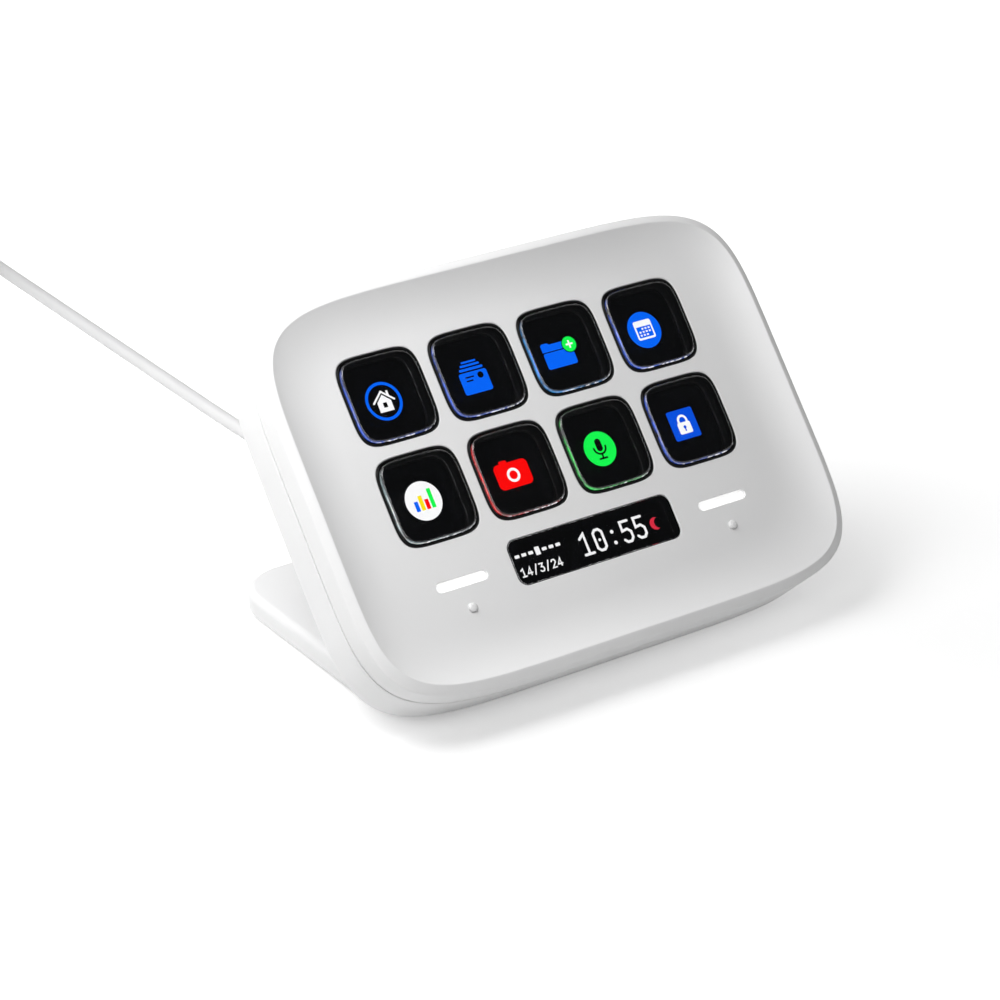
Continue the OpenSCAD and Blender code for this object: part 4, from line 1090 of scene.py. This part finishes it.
# Lines of each sign, in a box one wide and one high
SIGNS = {
    "0": [[(0.15, 0.55), (0.15, 0.85), (0.35, 0.98), (0.65, 0.98), (0.85, 0.85), (0.85, 0.15),
           (0.65, 0.02), (0.35, 0.02), (0.15, 0.15), (0.15, 0.56)]],
    "1": [[(0.12, 0.78), (0.52, 0.98), (0.52, 0.02)], [(0.15, 0.02), (0.88, 0.02)]],
    "2": [[(0.15, 0.8), (0.32, 0.97), (0.68, 0.97), (0.85, 0.8), (0.85, 0.62), (0.15, 0.02), (0.88, 0.02)]],
    "3": [[(0.15, 0.97), (0.82, 0.97), (0.45, 0.58), (0.7, 0.55), (0.86, 0.4), (0.86, 0.17),
           (0.68, 0.02), (0.32, 0.02), (0.14, 0.15)]],
    "4": [[(0.68, 0.02), (0.68, 0.98), (0.12, 0.26), (0.92, 0.26)]],
    "5": [[(0.82, 0.98), (0.2, 0.98), (0.18, 0.56), (0.6, 0.6), (0.85, 0.45), (0.85, 0.17),
           (0.65, 0.02), (0.33, 0.02), (0.14, 0.14)]],
    "/": [[(0.2, -0.08), (0.8, 1.08)]],
}


def write(text, x, y, w, h, pitch, width):
    """A row of signs; x, y is the first one's lower left corner, w by h its size."""
    shapes = []
    for i, sign in enumerate(text):
        left = x + pitch * i
        if sign == ":":
            shapes += [prism(disc(left + w / 2, y + h * k, width * 0.72, 20), 0) for k in (0.16, 0.68)]
            continue
        for layer, line in enumerate(SIGNS[sign]):
            shapes.append(prism(stroke([(left + w * px, y + h * py) for px, py in line], width), layer))
        if sign == "0":
            shapes.append(prism(disc(left + w / 2, y + h / 2, width * 0.55, 20), 0))
    return shapes


# Time and date: text, its lower left corner, a sign's width and height, their pitch, line width
TIME = ("10:55", -1.5, -27.95, 2.7, 4.1, 3.06, 0.5)
DATE = ("14/3/24", -15.35, -28.3, 1.15, 1.55, 1.33, 0.26)
# A mark for each weekday, today's taller
DAY_X, DAY_Y, DAY_PITCH, DAY_CORNER = -14.85, -24.4, 1.5, 0.15
DAY_W, DAY_H, TODAY_H, TODAY = 1.0, 0.6, 1.55, 3
MOON_OUTSIDE, MOON_INSIDE = (15.6, -26.1, 1.2, 60, 300, 32), (16.4, -26.1, 1.058, 259.2, 100.8, 28)


def make_strip():
    """What the clock window shows: time, date, weekday and the evening's moon."""
    week = [prism(rect(DAY_X + DAY_PITCH * i, DAY_Y, DAY_W, TODAY_H if i == TODAY else DAY_H, DAY_CORNER), 0)
            for i in range(7)]
    piece("clock_digits", new_mesh("clock_digits", join(write(*TIME) + write(*DATE) + week)), "white", PANEL,
          crease=20, weighted=False)
    moon = arc(*MOON_OUTSIDE) + arc(*MOON_INSIDE)[1:-1]
    piece("evening_mark", new_mesh("evening_mark", prism(moon, 0)), "rose", PANEL,
          crease=20, weighted=False)


make_icons()
make_strip()

# ------------------------------------------------- nodes that stay as they are

NODE_MATERIALS = {
    "touch_sensor": "film", "lcd_flex": "film", "key_mat": "mat", "lcd_panel": "display",
    "lcd_backlight": "tray", "display_carrier": "carrier", "foam_pad": "foam", "main_board": "board",
    "processor": "chip", "memory_chip": "chip", "lcd_connector": "ivory", "cable_connector": "ivory",
    "cable_leads": "wire", "carrier_screws": "steel", "stand_screws": "steel", "stand_weight": "weight",
    "foot_pad": "foot",
}
for name, mat in NODE_MATERIALS.items():
    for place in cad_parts[name].material_slots:
        place.material = MAT[mat]

# ---------------------------------------------------------- floor and light

# The floor's glow, in metres: a place times the stretch, plus the shift, is how far it is
# from the middle of a painted shadow in front of the keypad. The glow grows from near to far over the first
# reach, and by the last value over the second, painted light that washes out shadows far off.
PAINTED_SHADOW_STRETCH, PAINTED_SHADOW_SHIFT = (0.5, 1, 0), (0.020, 0.045, 0)
FLOOR_NEAR, FLOOR_FAR, FLOOR_WASHOUT = 0.27, 0.62, 0.42
PAINTED_SHADOW_REACH, WASHOUT_REACH = (0.0, 0.1), (0.1, 0.25)
FLOOR_HALF, FLOOR_CORNER, FLOOR_LEVELS = 4000, 500, (-20, -0.02)

# The backdrop: dark towards one side, dimmer straight above; and the light from the right
DARK_SIDE, DARK_EDGE = (0.51, -0.545, 0.66), (0.72, 0.93)
ABOVE, ABOVE_EDGE, ABOVE_TONE = (0, 0, 1), (0.72, 0.92), 0.15
RIGHT, RIGHT_LIGHT = (1, 0, 0), 0.40

# Lamps: place, what they point at, width, in metres, and power
MIDDLE = (0, 0, 0.035)
LAMPS = {
    "key_light": ((-0.139, 0.056, 0.272), MIDDLE, 0.22, 0.498),
    "fill_light": ((-0.166, -0.106, 0.261), MIDDLE, 0.25, 0.145),
    "front_light": ((-0.239, -0.418, 0.393), MIDDLE, 0.40, 0.846),
    "back_light": ((-0.204, 0.526, 0.239), MIDDLE, 0.40, 0.735),
    "side_light": ((-0.460, 0.179, 0.112), MIDDLE, 0.40, 0.36),
    "near_light": ((-0.090, -0.0134, 0.170), (-0.02, 0, 0.045), 0.08, 0.054),
}


def seen(tree):
    """1 where the camera sees something, also in a mirror or through the clear parts; else 0."""
    path = tree.nodes.new("ShaderNodeLightPath").outputs
    direct = calc(tree, "MAXIMUM", path["Is Camera Ray"], path["Is Glossy Ray"])
    return calc(tree, "MAXIMUM", direct, path["Is Transmission Ray"])


def floor_material():
    """White that takes the shadow and glows where it is seen: least in front of the keypad, a painted shadow,
    and more far off, painted light that washes out shadows.
    """
    m = bpy.data.materials.new("floor_white")
    m.use_nodes = True
    tree = m.node_tree
    tree.nodes.clear()
    out = tree.nodes.new("ShaderNodeOutputMaterial")
    diffuse = node(tree, "ShaderNodeBsdfDiffuse", Color=(0.8, 0.8, 0.8, 1))
    glow = node(tree, "ShaderNodeEmission", Color=(1, 1, 1, 1))
    at = tree.nodes.new("ShaderNodeTexCoord")
    # painted shadow in front of the keypad, and painted light farther off
    painted_shadow_spot = vector_calc(tree, "MULTIPLY_ADD", at.outputs["Object"], PAINTED_SHADOW_STRETCH, PAINTED_SHADOW_SHIFT)
    away = vector_calc(tree, "LENGTH", painted_shadow_spot, result="Value")
    near = span(tree, away, *PAINTED_SHADOW_REACH, FLOOR_NEAR, FLOOR_FAR)
    washout_glow = span(tree, away, *WASHOUT_REACH, 0.0, FLOOR_WASHOUT)
    strength = calc(tree, "MULTIPLY", seen(tree), calc(tree, "ADD", near, washout_glow))
    both = tree.nodes.new("ShaderNodeAddShader")
    tree.links.new(strength, glow.inputs["Strength"])
    tree.links.new(diffuse.outputs[0], both.inputs[0])
    tree.links.new(glow.outputs[0], both.inputs[1])
    tree.links.new(both.outputs[0], out.inputs["Surface"])
    return m


def make_floor():
    outline = round_rect(FLOOR_HALF, FLOOR_HALF, FLOOR_CORNER, 12)
    mesh = new_mesh("floor", loft([at_z(outline, z) for z in FLOOR_LEVELS]))
    mesh.transform(FLAT)
    mesh.materials.append(floor_material())
    floor = bpy.data.objects.new("floor", mesh)
    bpy.context.scene.collection.objects.link(floor)


def make_world():
    """Pale backdrop where it is seen; elsewhere only a soft light from the right."""
    world = bpy.data.worlds.new("studio")
    bpy.context.scene.world = world
    world.use_nodes = True
    tree = world.node_tree
    at = tree.nodes.new("ShaderNodeTexCoord")

    def towards(aim, low, high, start, end):
        aim = Vector(aim).normalized()
        side = vector_calc(tree, "DOT_PRODUCT", at.outputs["Generated"], aim, result="Value")
        return span(tree, side, low, high, start, end, kind="SMOOTHSTEP")

    direct = seen(tree)
    backdrop = calc(tree, "MULTIPLY", direct, towards(DARK_SIDE, *DARK_EDGE, 1.0, 0.0))
    backdrop = calc(tree, "MULTIPLY", backdrop, towards(ABOVE, *ABOVE_EDGE, 1.0, ABOVE_TONE))
    unseen = calc(tree, "SUBTRACT", 1.0, direct)
    side_light = calc(tree, "MULTIPLY", unseen, towards(RIGHT, 0.0, 1.0, 0.0, RIGHT_LIGHT))
    tree.links.new(calc(tree, "ADD", backdrop, side_light), tree.nodes["Background"].inputs["Color"])


def add_lamp(name, place, aim, width, power):
    data = bpy.data.lights.new(name, "AREA")
    data.shape, data.size, data.energy = "DISK", width, power
    lamp = bpy.data.objects.new(name, data)
    lamp.visible_camera = False
    lamp.location = place
    lamp.rotation_euler = (Vector(aim) - Vector(place)).to_track_quat("-Z", "Y").to_euler()
    bpy.context.scene.collection.objects.link(lamp)


make_floor()
make_world()
for name, lamp in LAMPS.items():
    add_lamp(name, *lamp)

bpy.context.scene.view_settings.view_transform = "Standard"
